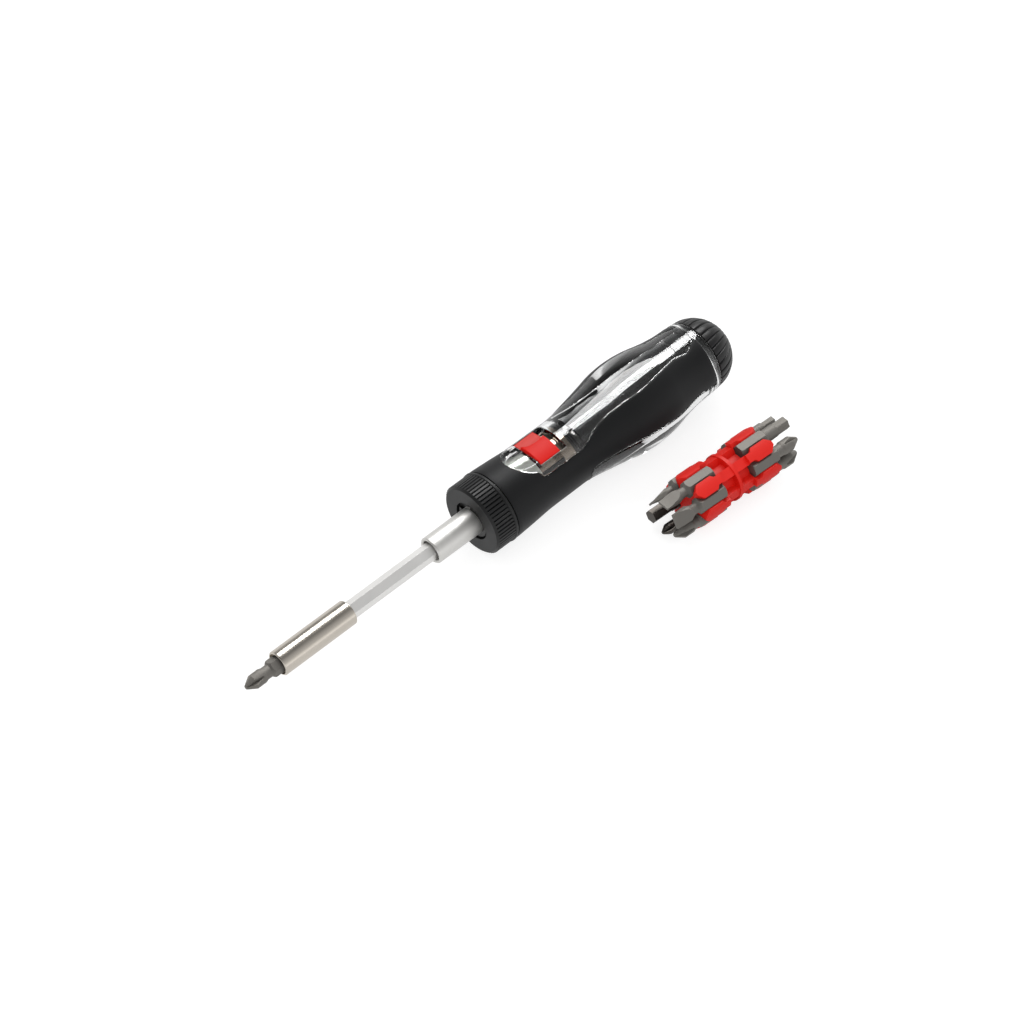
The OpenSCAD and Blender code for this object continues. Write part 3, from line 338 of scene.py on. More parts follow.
@dataclass
class Studio:
    """The camera, the pale floor and the soft light.

    Args:
        azimuth: the camera's direction in plan, in degrees.
        elevation: its height in degrees.
        focal_px: the focal length in pixels of the 1024 pixel frame.
        distance: from the part's origin along the view, in millimetres.
        origin_px: where the part's origin shows.
        slope: the floor's fall towards the bit, in degrees.
        floor_at: a point of the floor, along X and Z.
        floor_half: half the floor's width, in millimetres.
        floor_glow: how much white the floor adds to what the camera and mirrors see of it.
        aim: where the softboxes point, in metres.
        room: the level at which the room lights the part.
    """

    azimuth: float = 136.8
    elevation: float = 52.17
    focal_px: float = 4200.0
    distance: float = 1600.0
    origin_px: tuple[float, float] = (471.35, 521.1)
    slope: float = 2.79
    floor_at: tuple[float, float] = (-85.0, -19.15)
    floor_half: float = 3000.0
    floor_glow: float = 0.78
    aim: tuple[float, float, float] = (-0.03, 0.02, 0.0)
    room: float = 0.86

    def camera(self) -> None:
        """Sets the camera at the photograph's viewing angle."""
        az, el = math.radians(self.azimuth), math.radians(self.elevation)
        back = Vector((math.sin(az) * math.cos(el), -math.cos(az) * math.cos(el), math.sin(el)))
        right = Vector((math.cos(az), math.sin(az), 0))
        up = back.cross(right)
        u = (self.origin_px[0] - FRAME_PX / 2) / self.focal_px
        v = (FRAME_PX / 2 - self.origin_px[1]) / self.focal_px
        place = (back - right * u - up * v) * self.distance * MM
        lens = bpy.data.cameras.new("camera")
        lens.sensor_width = SENSOR_MM
        lens.lens = SENSOR_MM * self.focal_px / FRAME_PX
        lens.clip_start, lens.clip_end = 0.05, 50.0
        seen = bpy.data.objects.new("camera", lens)
        turn = Matrix((right, up, back)).transposed().to_4x4()
        seen.matrix_world = Matrix.Translation(place) @ turn
        bpy.context.scene.collection.objects.link(seen)
        bpy.context.scene.camera = seen

    def floor(self) -> None:
        """Lays the floor under the grip's belly and the bit's tip, white where nothing shades it."""
        fall = math.tan(math.radians(self.slope))
        half = self.floor_half
        corners = [
            (x * half, y * half, self.floor_at[1] + fall * (x * half - self.floor_at[0]))
            for x, y in ((-1, -1), (1, -1), (1, 1), (-1, 1))
        ]
        mesh = bpy.data.meshes.new("floor")
        mesh.from_pydata([Vector(c) * MM for c in corners], [], [(0, 1, 2, 3)])
        ground = bpy.data.objects.new("floor", mesh)
        bpy.context.scene.collection.objects.link(ground)
        made = bpy.data.materials.new("studio_floor")
        made.use_nodes = True
        tree = made.node_tree
        tree.nodes.clear()
        matt = add_node(tree, "ShaderNodeBsdfDiffuse", {"Color": linear("#a2a2a2")})
        path = add_node(tree, "ShaderNodeLightPath", {})
        share = add_node(
            tree, "ShaderNodeMix", {"Factor": path.outputs["Is Diffuse Ray"], 2: self.floor_glow, 3: 0.0}
        )
        glow = add_node(tree, "ShaderNodeEmission", {"Color": (1, 1, 1, 1), "Strength": share.outputs[0]})
        lit = add_node(tree, "ShaderNodeAddShader", {0: matt.outputs["BSDF"], 1: glow.outputs["Emission"]})
        add_node(tree, "ShaderNodeOutputMaterial", {"Surface": lit.outputs["Shader"]})
        mesh.materials.append(made)

    def softbox(self, name: str, at: Vector, size: tuple[float, float], watts: float) -> bpy.types.Object:
        """Hangs a softbox that points at the aim.

        Args:
            name: its name.
            at: its place in metres.
            size: its length along X and its width, in metres.
            watts: its power.

        Returns:
            The lamp's object.
        """
        lamp = bpy.data.lights.new(name, "AREA")
        lamp.shape = "RECTANGLE"
        lamp.size, lamp.size_y = size
        lamp.energy = watts
        hung = bpy.data.objects.new(name, lamp)
        back = (at - Vector(self.aim)).normalized()
        side = (Vector((1, 0, 0)) - back * back.x).normalized()
        turn = Matrix((side, back.cross(side), back)).transposed().to_4x4()
        hung.matrix_world = Matrix.Translation(at) @ turn
        bpy.context.scene.collection.objects.link(hung)
        return hung

    def light(self) -> None:
        """Lights the part with softboxes and a pale room, which mirrors see bright below and grey above."""
        self.softbox("softbox_rear", at=Vector((-0.46, -0.5, 0.88)), size=(1.5, 0.42), watts=3.2)
        fill = self.softbox("softbox_front", at=Vector((0.9, 0.5, 0.7)), size=(0.5, 0.8), watts=1.5)
        # It fills shade and leaves no mirror image.
        fill.visible_glossy = False
        shine = self.softbox("softbox_shine", at=Vector((-0.47, -0.5, 0.9)), size=(1.5, 0.42), watts=15.0)
        # It shows in gloss alone, as the long highlight, and adds nothing to matt surfaces.
        shine.visible_diffuse = False
        world = bpy.data.worlds.new("room")
        bpy.context.scene.world = world
        world.use_nodes = True
        tree = world.node_tree
        tree.nodes.clear()
        path = add_node(tree, "ShaderNodeLightPath", {})
        look = add_node(tree, "ShaderNodeTexCoord", {})
        axes = add_node(tree, "ShaderNodeSeparateXYZ", {"Vector": look.outputs["Generated"]})
        # What mirrors see: white at the floor and grey above, with a brighter side.
        high = add_node(
            tree,
            "ShaderNodeMapRange",
            {"Value": axes.outputs["Z"], "From Min": 0.05, "From Max": 0.42, "To Min": 1.0, "To Max": 0.22},
        )
        side = add_node(
            tree,
            "ShaderNodeMapRange",
            {"Value": axes.outputs["Y"], "From Min": 0.25, "From Max": 0.8, "To Min": 0.0, "To Max": 0.5},
        )
        room = add_node(
            tree, "ShaderNodeMath", {0: high.outputs["Result"], 1: side.outputs["Result"]}, operation="ADD"
        )
        seen = add_node(
            tree,
            "ShaderNodeMath",
            {0: path.outputs["Is Camera Ray"], 1: path.outputs["Is Transmission Ray"]},
            operation="MAXIMUM",
        )
        mirrored = add_node(
            tree, "ShaderNodeMath", {0: path.outputs["Glossy Depth"], 1: 1.0}, operation="MINIMUM"
        )
        plain = add_node(tree, "ShaderNodeMix", {"Factor": seen.outputs["Value"], 2: self.room, 3: 1.0})
        level = add_node(
            tree,
            "ShaderNodeMix",
            {"Factor": mirrored.outputs["Value"], 2: plain.outputs[0], 3: room.outputs["Value"]},
        )
        sky = add_node(tree, "ShaderNodeBackground", {"Color": (1, 1, 1, 1), "Strength": level.outputs[0]})
        add_node(tree, "ShaderNodeOutputWorld", {"Surface": sky.outputs["Background"]})
        bpy.context.scene.view_settings.view_transform = "Standard"


def curve_through(points: Sequence[Sequence[float]], per: int) -> np.ndarray:
    """Draws a smooth line through points.

    Args:
        points: the points in order, in a plane.
        per: how many steps each stretch gets.

    Returns:
        The line's points, one row each.
    """
    pts = np.asarray(points, float)
    pad = np.vstack([2 * pts[0] - pts[1], pts, 2 * pts[-1] - pts[-2]])
    out = []
    for a, b, c, d in zip(pad[:-3], pad[1:-2], pad[2:-1], pad[3:]):
        t = np.linspace(0, 1, per, endpoint=False)[:, None]
        run = np.linalg.norm(c - b)
        tb = (c - a) * min(1.0, run / max(np.linalg.norm(b - a), TINY)) / 2
        tc = (d - b) * min(1.0, run / max(np.linalg.norm(d - c), TINY)) / 2
        h1, h2 = 2 * t**3 - 3 * t**2 + 1, t**3 - 2 * t**2 + t
        h3, h4 = -2 * t**3 + 3 * t**2, t**3 - t**2
        out.append(h1 * b + h2 * tb + h3 * c + h4 * tc)
    return np.vstack(out + [pts[-1:]])


def rounding(depth: np.ndarray, width: float, drop: float) -> np.ndarray:
    """Gives how far a rounded edge falls below its face.

    Args:
        depth: distance in from the edge.
        width: how far in the rounding reaches.
        drop: how far the edge itself lies below the face.

    Returns:
        The fall at each distance.
    """
    t = np.clip(1 - depth / width, 0, 1)
    return drop * (1 - np.sqrt(np.clip(1 - t * t, 0, 1)))


def shade(mesh: bpy.types.Mesh, degrees: float) -> None:
    """Shades a mesh smooth, but for edges sharper than an angle."""
    mesh.shade_smooth()
    mesh.set_sharp_from_angle(angle=math.radians(degrees))


def add_piece(
    name: str, verts: np.ndarray, faces: Sequence[Sequence[int]], finish: Finish, body: str, *nodes: str
) -> bpy.types.Object:
    """Makes a smooth-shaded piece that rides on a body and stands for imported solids.

    Args:
        name: the piece's name.
        verts: its points in millimetres.
        faces: its faces, as numbers of points.
        finish: what it is made of.
        body: the body that it rides on.
        nodes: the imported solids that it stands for.

    Returns:
        The new object.
    """
    mesh = bpy.data.meshes.new(name)
    mesh.from_pydata((np.asarray(verts) * MM).tolist(), [], [list(map(int, f)) for f in faces])
    form = bmesh.new()
    form.from_mesh(mesh)
    bmesh.ops.remove_doubles(form, verts=form.verts, dist=2e-6)
    bmesh.ops.recalc_face_normals(form, faces=form.faces)
    form.to_mesh(mesh)
    form.free()
    shade(mesh, 38)
    mesh.materials.append(finish.material())
    piece = bpy.data.objects.new(name, mesh)
    bpy.context.scene.collection.objects.link(piece)
    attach(piece, body)
    if nodes:
        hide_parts(*nodes)
    log.info("%s: %d faces in %s", name, len(mesh.polygons), finish.name)
    return piece


@dataclass
class Handle:
    """The clear body with its windows, and the soft skin between them.

    Both come from one sheet of points about the axis: the skin is the part of it outside the windows, and
    the body has two sides, its outside under the skin and its bores. Stations count from the selector
    ring's face to the rear, against X.

    Args:
        grip_at: station of the grip's front edge.
        grip_l: its length.
        grip_r: its widest radius.
        skin_t: thickness of the soft skin.
        air: gap between the skin and the body under it.
        window_rise: how far the windows stand proud of the skin.
        flange_at: station of the clear flange's front.
        flange_end: station of its rear face.
        flange_r: its radius.
        bore_r: radius of the mechanism's bore.
        partition: front and rear station of the partition, and the radius of its hole.
        chamber_r: radius of the magazine chamber.
        skirt: station where the cap's seat starts, and its radius.
        latch: station where the latch's slot starts, half its angle and its radius.
        top_at: angle of the top window about the axis, in degrees as all angles here.
        scoop: station and height of the centre of the thumb scoop's curve, and the curve's radius.
        scoop_run: stations between which the scoop lies.
        scoop_soft: how softly the scoop meets the body.
        slot: front and rear station of the slider's slot, and half its angle.
        slot_r: the radius at which its width counts.
        window_edge: width and drop of the rounding round a window.
        flange_edge: the same for the flange.
        slot_edge: the same for the slot.
        skin_edge: the same for the skin round a window.
        end_edge: the same for the skin's two ends.
        step: pitch of the sheet's rows.
        columns: how many points a row has.
        lip: width in which a bore steps from one radius to the next.
        seam: the angle at which the sheet starts.
        sheet_r: the radius at which the sheet is triangulated flat.
        grip: the grip's outline, in shares of its length and of its widest radius.
        top: one side of the top window's outline, in the same shares.
        low: the same for the two lower windows.
    """

    grip_at: float = 11.0
    grip_l: float = 105.5
    grip_r: float = 19.15
    skin_t: float = 1.1
    air: float = 0.03
    window_rise: float = 0.15
    flange_at: float = 116.5
    flange_end: float = 119.5
    flange_r: float = 15.5
    bore_r: float = 11.9
    partition: tuple[float, float, float] = (49.93, 51.93, 6.63)
    chamber_r: float = 12.155
    skirt: tuple[float, float] = (113.95, 13.5)
    latch: tuple[float, float, float] = (106.9, 17.5, 13.25)
    top_at: float = 100.5
    scoop: tuple[float, float, float] = (29.6, 34.72, 22.0)
    scoop_run: tuple[float, float] = (12.0, 31.5)
    scoop_soft: float = 0.25
    slot: tuple[float, float, float] = (30.95, 44.3, 34.5)
    slot_r: float = 14.0
    window_edge: tuple[float, float] = (0.55, 0.4)
    flange_edge: tuple[float, float] = (0.95, 0.75)
    slot_edge: tuple[float, float] = (0.4, 0.3)
    skin_edge: tuple[float, float] = (0.5, 0.35)
    end_edge: tuple[float, float] = (0.5, 0.25)
    step: float = 0.95
    columns: int = 133
    lip: float = 0.04
    seam: float = -79.5
    sheet_r: float = 16.0
    grip: Outline = (
        (-0.05, 0.82), (0, 0.804), (0.085, 0.778), (0.18, 0.744), (0.275, 0.739), (0.37, 0.737), (0.408, 0.76),
        (0.441, 0.789), (0.474, 0.82), (0.507, 0.85), (0.54, 0.883), (0.573, 0.917), (0.607, 0.956),
        (0.635, 0.98), (0.67, 0.996), (0.7, 1), (0.735, 0.992), (0.768, 0.973), (0.801, 0.944),
        (0.834, 0.904), (0.867, 0.869), (0.9, 0.843), (0.934, 0.824), (1, 0.812), (1.08, 0.81),
    )  # fmt: skip
    top: Outline = (
        (0.087, 0), (0.0885, 0.09), (0.095, 0.19), (0.113, 0.33), (0.133, 0.421), (0.162, 0.5), (0.174, 0.59),
        (0.2, 0.597), (0.35, 0.594), (0.3745, 0.585), (0.4265, 0.526), (0.4645, 0.49), (0.512, 0.484),
        (0.559, 0.51), (0.602, 0.54), (0.654, 0.573), (0.705, 0.566), (0.749, 0.53), (0.796, 0.482),
        (0.843, 0.426), (0.872, 0.395), (0.905, 0.41), (0.929, 0.418), (0.948, 0.392), (0.967, 0.338),
        (0.986, 0.285), (1.0, 0.272), (1.1, 0.27),
    )  # fmt: skip
    low: Outline = (
        (0.3735, 0), (0.3738, 0.12), (0.3745, 0.235), (0.389, 0.298), (0.417, 0.345), (0.4645, 0.388),
        (0.512, 0.42), (0.559, 0.445), (0.602, 0.47), (0.654, 0.487), (0.705, 0.476), (0.749, 0.44),
        (0.796, 0.39), (0.843, 0.345), (0.891, 0.336), (0.919, 0.318), (0.948, 0.274), (0.976, 0.245),
        (1.0, 0.24), (1.1, 0.24),
    )  # fmt: skip

    def radius(self, x: np.ndarray) -> np.ndarray:
        """Gives the soft skin's radius at each station."""
        line = curve_through(self.grip, 12)
        return np.interp((-x - self.grip_at) / self.grip_l, line[:, 0], line[:, 1] * self.grip_r)

    def window_line(self, shares: Outline) -> np.ndarray:
        """Gives one side of a window's outline, as station and half width."""
        line = curve_through(shares, 8)
        return np.column_stack([-self.grip_at - line[:, 0] * self.grip_l, line[:, 1] * self.grip_r])

    def windows(self) -> list[tuple[float, np.ndarray]]:
        """Lists each window's angle with one side of its outline."""
        low = self.window_line(self.low)
        return [(self.top_at, self.window_line(self.top)), (self.top_at + 120, low), (self.top_at - 120, low)]

    def walls(self) -> np.ndarray:
        """Lists the places along X where the sheet keeps its rows, so that steps in the bores stay square."""
        return np.array([s - e for e in (*self.partition[:2], self.flange_at) for s in (0.0, self.lip)])

    def depth(self, x: np.ndarray, at: np.ndarray) -> np.ndarray:
        """Gives the distance to the nearest window's outline, below 0 inside a window.

        Args:
            x: places along X.
            at: angles about the axis.

        Returns:
            The distance at each point.
        """
        r = self.radius(x)
        reach = 6.0
        best = np.full(len(x), FAR)
        for angle, line in self.windows():
            turn = np.radians((at - angle + 180) % 360 - 180)
            w = np.where(np.abs(turn) < math.pi / 2, np.abs(r * np.sin(turn)), 2 * self.grip_r)
            half = np.interp(-x, -line[:, 0], line[:, 1], left=-1)
            gap = np.full(len(x), FAR)
            for (x0, w0), (x1, w1) in zip(line[:-1], line[1:]):
                near = np.abs(x - x0) < reach
                if not near.any():
                    continue
                dx, dw = x1 - x0, w1 - w0
                t = np.clip(((x[near] - x0) * dx + (w[near] - w0) * dw) / max(dx * dx + dw * dw, TINY), 0, 1)
                gap[near] = np.minimum(gap[near], np.hypot(x[near] - x0 - t * dx, w[near] - w0 - t * dw))
            signed = np.where(w < half, -gap, gap)
            best = np.where(np.abs(signed) < np.abs(best), signed, best)
            best = np.where((w < half) & (best > 0), signed, best)
        return best

    def slot_depth(self, x: np.ndarray, at: np.ndarray) -> np.ndarray:
        """Gives the distance to the slider's slot, below 0 inside it.

        Args:
            x: places along X.
            at: angles about the axis.

        Returns:
            The distance at each point.
        """
        near, far, half = self.slot
        turn = np.abs((at - self.top_at + 180) % 360 - 180)
        across = (turn - half) * math.radians(1) * self.slot_r
        along = np.maximum(x + near, -far - x)
        return np.where((along > 0) & (across > 0), np.hypot(along, across), np.maximum(along, across))

    def outside(self, x: np.ndarray, at: np.ndarray, depth: np.ndarray) -> np.ndarray:
        """Gives the clear body's outer radius: windows, the skin's seat, flange, scoop and slot edge.

        Args:
            x: places along X.
            at: angles about the axis.
            depth: distances to the windows' outlines.

        Returns:
            The radius at each point.
        """
        r = self.radius(x)
        face = r + self.window_rise - rounding(-depth, *self.window_edge)
        out = np.where(depth <= 0, face, r - self.skin_t - self.air)
        edge = np.minimum(-self.flange_at - x, x + self.flange_end)
        out = np.where(x < -self.flange_at, self.flange_r - rounding(edge, *self.flange_edge), out)
        mid, height, bow = self.scoop
        turn = np.radians((at - self.top_at + 180) % 360 - 180)
        level = height - np.sqrt(np.clip(bow**2 - (x + mid) ** 2, 0, None))
        scooped = (np.abs(turn) < 1.2) & (x > -self.scoop_run[1]) & (x < -self.scoop_run[0])
        dish = np.where(scooped, level / np.maximum(np.cos(turn), 0.2), FAR)
        soft = self.scoop_soft
        mix = np.clip(0.5 + (out - dish) / (2 * soft), 0, 1)
        out = out * (1 - mix) + dish * mix - soft * mix * (1 - mix)
        return out - rounding(np.maximum(self.slot_depth(x, at), 0), *self.slot_edge)

    def inside(self, x: np.ndarray, at: np.ndarray) -> np.ndarray:
        """Gives the radius of the bores: mechanism, partition, magazine chamber, cap's seat and latch slot.

        Args:
            x: places along X.
            at: angles about the axis.

        Returns:
            The radius at each point.
        """
        near, far, small = self.partition
        r = np.where(x > -near, self.bore_r, np.where(x > -far, small, self.chamber_r))
        r = np.where(x < -self.skirt[0], self.skirt[1], r)
        turn = np.abs((at - self.top_at + 180) % 360 - 180)
        start, half, wide = self.latch
        return np.where((x < -start) & (turn < half), np.maximum(r, wide), r)

    def free_points(self) -> np.ndarray:
        """Lays the sheet's grid: finer at edges and over the scoop, and clear of the windows and the slot.

        Returns:
            Each point's place along X and its angle.
        """
        rows = list(np.arange(-self.grip_at, -self.flange_end, -self.step))
        edges = (*self.partition[:2], self.skirt[0], self.flange_at, self.flange_end, self.latch[0])
        rows += [-e + s for e in edges for s in (0.0, self.lip)]
        steps = (0.06, 0.14, 0.25, 0.4, 0.6, 0.95)
        rows += [-self.flange_at - s for s in steps] + [-self.flange_end + s for s in steps]
        rows = sorted({round(r, 3) for r in rows if -self.flange_end <= r <= -self.grip_at})
        columns = np.linspace(self.seam, self.seam + 360, self.columns)
        latch = self.top_at + np.array([side * self.latch[1] + s for side in (-1, 1) for s in (-0.1, 0.1)])
        grid = [(x, a) for x in rows for a in np.concatenate([columns, latch])]
        across = self.top_at + np.arange(-38, 38.1, 1.25)
        patch = [(x, a) for x in np.arange(-31.2, -17, 0.32) for a in across]
        free = np.array(grid + patch)
        depth = self.depth(free[:, 0], free[:, 1])
        slot = self.slot_depth(free[:, 0], free[:, 1])
        border = (free[:, 1] <= self.seam) | (free[:, 1] >= self.seam + 360)
        border |= (free[:, 0] >= -self.grip_at) | (free[:, 0] <= -self.flange_end)
        on_wall = np.abs(free[:, :1] - self.walls()).min(axis=1) < 1e-3
        keep = (np.abs(depth) > 0.75) | border | on_wall | (free[:, 0] < -self.flange_at)
        return free[keep & ((slot > 0.55) | border)]

    def window_runs(self) -> list[list[tuple[float, float]]]:
        """Follows both sides of each window's outline at several distances from it.

        Returns:
            The points of each run, as place along X and angle.
        """
        runs = []
        for angle, line in self.windows():
            line = line[line[:, 0] > -self.flange_at - 0.02]
            run = np.gradient(line, axis=0)
            run /= np.maximum(np.linalg.norm(run, axis=1), TINY)[:, None]
            normal = np.column_stack([-run[:, 1], run[:, 0]])
            normal *= np.where(normal[:, 1:] < 0, -1, 1)
            for shift in (-0.55, -0.3, -0.12, 0.0, 0.035, 0.14, 0.32, 0.55):
                moved = line + normal * shift
                moved = moved[(moved[:, 1] > 0.05) & (moved[:, 0] > -self.flange_at)]
                for wall in self.walls():
                    i = int(np.searchsorted(-moved[:, 0], -wall))
                    if 0 < i < len(moved) and moved[i - 1, 0] > wall > moved[i, 0]:
                        share = (moved[i - 1, 0] - wall) / (moved[i - 1, 0] - moved[i, 0])
                        moved = np.insert(moved, i, moved[i - 1] + (moved[i] - moved[i - 1]) * share, axis=0)
                turn = np.degrees(np.arcsin(np.clip(moved[:, 1] / self.radius(moved[:, 0]), -1, 1)))
                runs += [list(zip(moved[:, 0], angle + side * turn)) for side in (1, -1)]
        return runs

    def slot_loops(self) -> list[list[tuple[float, float]]]:
        """Follows the slot's outline at several distances outside it.

        Returns:
            The points of each loop, as place along X and angle.
        """
        near, far, half = self.slot
        shares = np.arange(0, 1, 0.04)
        loops = []
        for shift in (0.0, 0.12, 0.4):
            turn = shift / (math.radians(1) * self.slot_r)
            corners = [(-near + shift, -half - turn), (-near + shift, half + turn)]
            corners += [(-far - shift, half + turn), (-far - shift, -half - turn)]
            loop = []
            for (xa, ta), (xb, tb) in zip(corners, corners[1:] + corners[:1]):
                loop += [(xa + (xb - xa) * s, self.top_at + ta + (tb - ta) * s) for s in shares]
            loops.append(loop)
        return loops

    def sheet(self) -> tuple[np.ndarray, np.ndarray, np.ndarray]:
        """Lays the sheet of points and triangulates it along the windows and the slot.

        Returns:
            Each point's place along X and its angle, and the triangles.
        """
        points = [tuple(p) for p in self.free_points()]
        ties: list[tuple[int, int]] = []
        for run in self.window_runs():
            start = len(points)
            points += run
            ties += [(start + i, start + i + 1) for i in range(len(run) - 1)]
        for loop in self.slot_loops():
            start, count = len(points), len(loop)
            points += loop
            ties += [(start + i, start + (i + 1) % count) for i in range(count)]
        fine = np.radians(1) * self.sheet_r
        flat = [Vector((x, a * fine)) for x, a in points]
        verts, _, faces, _, _, _ = delaunay_2d_cdt(flat, ties, [], 0, 1e-5)
        place = np.array([(v.x, v.y / fine) for v in verts])
        inside = (place[:, 1] > self.seam - 1e-3) & (place[:, 1] < self.seam + 360 + 1e-3)
        tris = np.array([f for f in faces if len(f) == 3 and all(inside[i] for i in f)])
        return place[:, 0], place[:, 1], tris

    def shell(
        self, x: np.ndarray, at: np.ndarray, tris: np.ndarray, outer: np.ndarray, inner: np.ndarray
    ) -> tuple[np.ndarray, list[list[int]]]:
        """Closes an outer and an inner side of the sheet to a solid.

        Args:
            x: places of the points along X.
            at: their angles.
            tris: the triangles to keep.
            outer: the outer radius at each point.
            inner: the inner radius at each point.

        Returns:
            Points and faces.
        """
        a = np.radians(at)
        sides = [np.column_stack([x, r * np.cos(a), r * np.sin(a)]) for r in (outer, inner)]
        count = len(x)
        first: dict[tuple[float, float], int] = {}
        same = np.arange(count)
        for i in range(count):
            same[i] = first.setdefault((round(x[i], 4), round(at[i] % 360, 3) % 360), i)
        tris = same[tris]
        edges: dict[tuple[int, int], list[tuple[int, int]]] = {}
        for f in tris:
            for p, q in ((f[0], f[1]), (f[1], f[2]), (f[2], f[0])):
                edges.setdefault((min(p, q), max(p, q)), []).append((p, q))
        faces = [list(f) for f in tris] + [[f[2] + count, f[1] + count, f[0] + count] for f in tris]
        for runs in edges.values():
            if len(runs) == 1:
                p, q = runs[0]
                faces.append([q, p, p + count, q + count])
        return np.vstack(sides), faces

    def build(self) -> None:
        """Builds the clear body and the soft skin."""
        x, at, tris = self.sheet()
        depth = self.depth(x, at)
        mid_x, mid_at = x[tris].mean(axis=1), at[tris].mean(axis=1)
        body = tris[self.slot_depth(mid_x, mid_at) >= 0]
        verts, faces = self.shell(x, at, body, self.outside(x, at, depth), self.inside(x, at))
        add_piece("clear_handle_body", verts, faces, CLEAR_PC, "handle", "handle_shell")
        skin = tris[(self.depth(mid_x, mid_at) > 0.001) & (mid_x > -self.flange_at + self.lip / 2)]
        r = self.radius(x)
        ends = np.minimum(-self.grip_at - x, x + self.flange_at - self.lip)
        fall = rounding(np.maximum(depth, 0), *self.skin_edge) + rounding(np.maximum(ends, 0), *self.end_edge)
        verts, faces = self.shell(x, at, skin, r - fall, r - self.skin_t)
        add_piece("soft_grip_skin", verts, faces, SOFT_TPE, "handle", "grip_overmould")


@dataclass
class Dome:
    """The cap's soft cover, with grooves that run over it like a tyre's.

    Args:
        at: station of its front edge behind the ring face.
        radius: its radius.
        length: its depth.
        thick: its thickness.
        rows: how many rings of points it has.
        per_groove: how many points of a ring each groove gets.
        grooves: how many grooves there are.
        groove_w: a groove's width at the edge.
        groove_d: its depth there.
        narrowing: the power of the radius with which grooves grow narrow and shallow.
        groove_end: where on the way to the apex they have run out, as a share.
        groove_fade: the stretch before it in which they run out.
        pillow: how far the lobes between the grooves fall towards them.
        twist: how far a groove turns by the place twist_by, in degrees.
        twist_by: that place, as a share of the way to the apex.
        edge: width and drop of the rounding at the front edge.
    """

    at: float = 119.65
    radius: float = 15.3
    length: float = 14.6
    thick: float = 2.1
    rows: int = 72
    per_groove: int = 20
    grooves: int = 27
    groove_w: float = 1.1
    groove_d: float = 0.6
    narrowing: float = 0.6
    groove_end: float = 0.76
    groove_fade: float = 0.1
    pillow: float = 0.16
    twist: float = 7.0
    twist_by: float = 0.6
    edge: tuple[float, float] = (0.35, 0.25)

    def cut(self, lift: np.ndarray, at: np.ndarray) -> np.ndarray:
        """Gives how far the grooves and the front edge lie below the plain dome.

        Args:
            lift: angles from the front edge towards the apex.
            at: angles about the axis.

        Returns:
            The depth at each point.
        """
        share = lift / (math.pi / 2)
        fade = np.clip((self.groove_end - share) / self.groove_fade, 0, 1)
        fade = fade * fade * (3 - 2 * fade)
        pitch = 2 * math.pi / self.grooves
        phase = (at - math.radians(self.twist) * share / self.twist_by + pitch / 2) % pitch - pitch / 2
        narrow = np.cos(lift) ** self.narrowing
        across = np.abs(phase) * self.radius * np.cos(lift) / (self.groove_w * narrow / 2)
        groove = np.where(across < 1, (1 + np.cos(math.pi * np.clip(across, 0, 1))) / 2, 0)
        cut = self.groove_d * narrow * fade * groove
        cut += self.pillow * narrow * fade * (1 - np.abs(phase) / (pitch / 2)) ** 2
        return cut + rounding(self.length * np.sin(lift), *self.edge)

    def layer(self, lift: np.ndarray, at: np.ndarray, cut: np.ndarray | float) -> np.ndarray:
        """Lays one side of the cover.

        Args:
            lift: angles from the front edge towards the apex.
            at: angles about the axis.
            cut: how far it lies below the plain dome.

        Returns:
            Its points.
        """
        r = (self.radius - cut) * np.cos(lift)
        x = -self.at - (self.length - cut) * np.sin(lift)
        return np.stack([x, r * np.cos(at), r * np.sin(at)], axis=-1).reshape(-1, 3)

    def build(self) -> None:
        """Builds the cover as a closed shell."""
        rows, columns = self.rows, self.grooves * self.per_groove
        rise = np.concatenate([[0.0, 0.008, 0.02], np.linspace(0.045, 1, rows - 3)]) * math.pi / 2
        turn = np.arange(columns) * 2 * math.pi / columns
        lift, at = np.meshgrid(rise, turn, indexing="ij")
        outer = self.layer(lift, at, self.cut(lift, at))
        inner = self.layer(lift, at, self.thick)
        count = rows * columns
        faces = []
        for i in range(rows - 1):
            for k in range(columns):
                m = (k + 1) % columns
                quad = [i * columns + k, i * columns + m, (i + 1) * columns + m, (i + 1) * columns + k]
                faces += [quad, [count + q for q in reversed(quad)]]
        faces += [[k, (k + 1) % columns, count + (k + 1) % columns, count + k] for k in range(columns)]
        add_piece("soft_cap_dome", np.vstack([outer, inner]), faces, CAP_TPE, "cap", "cap_dome")


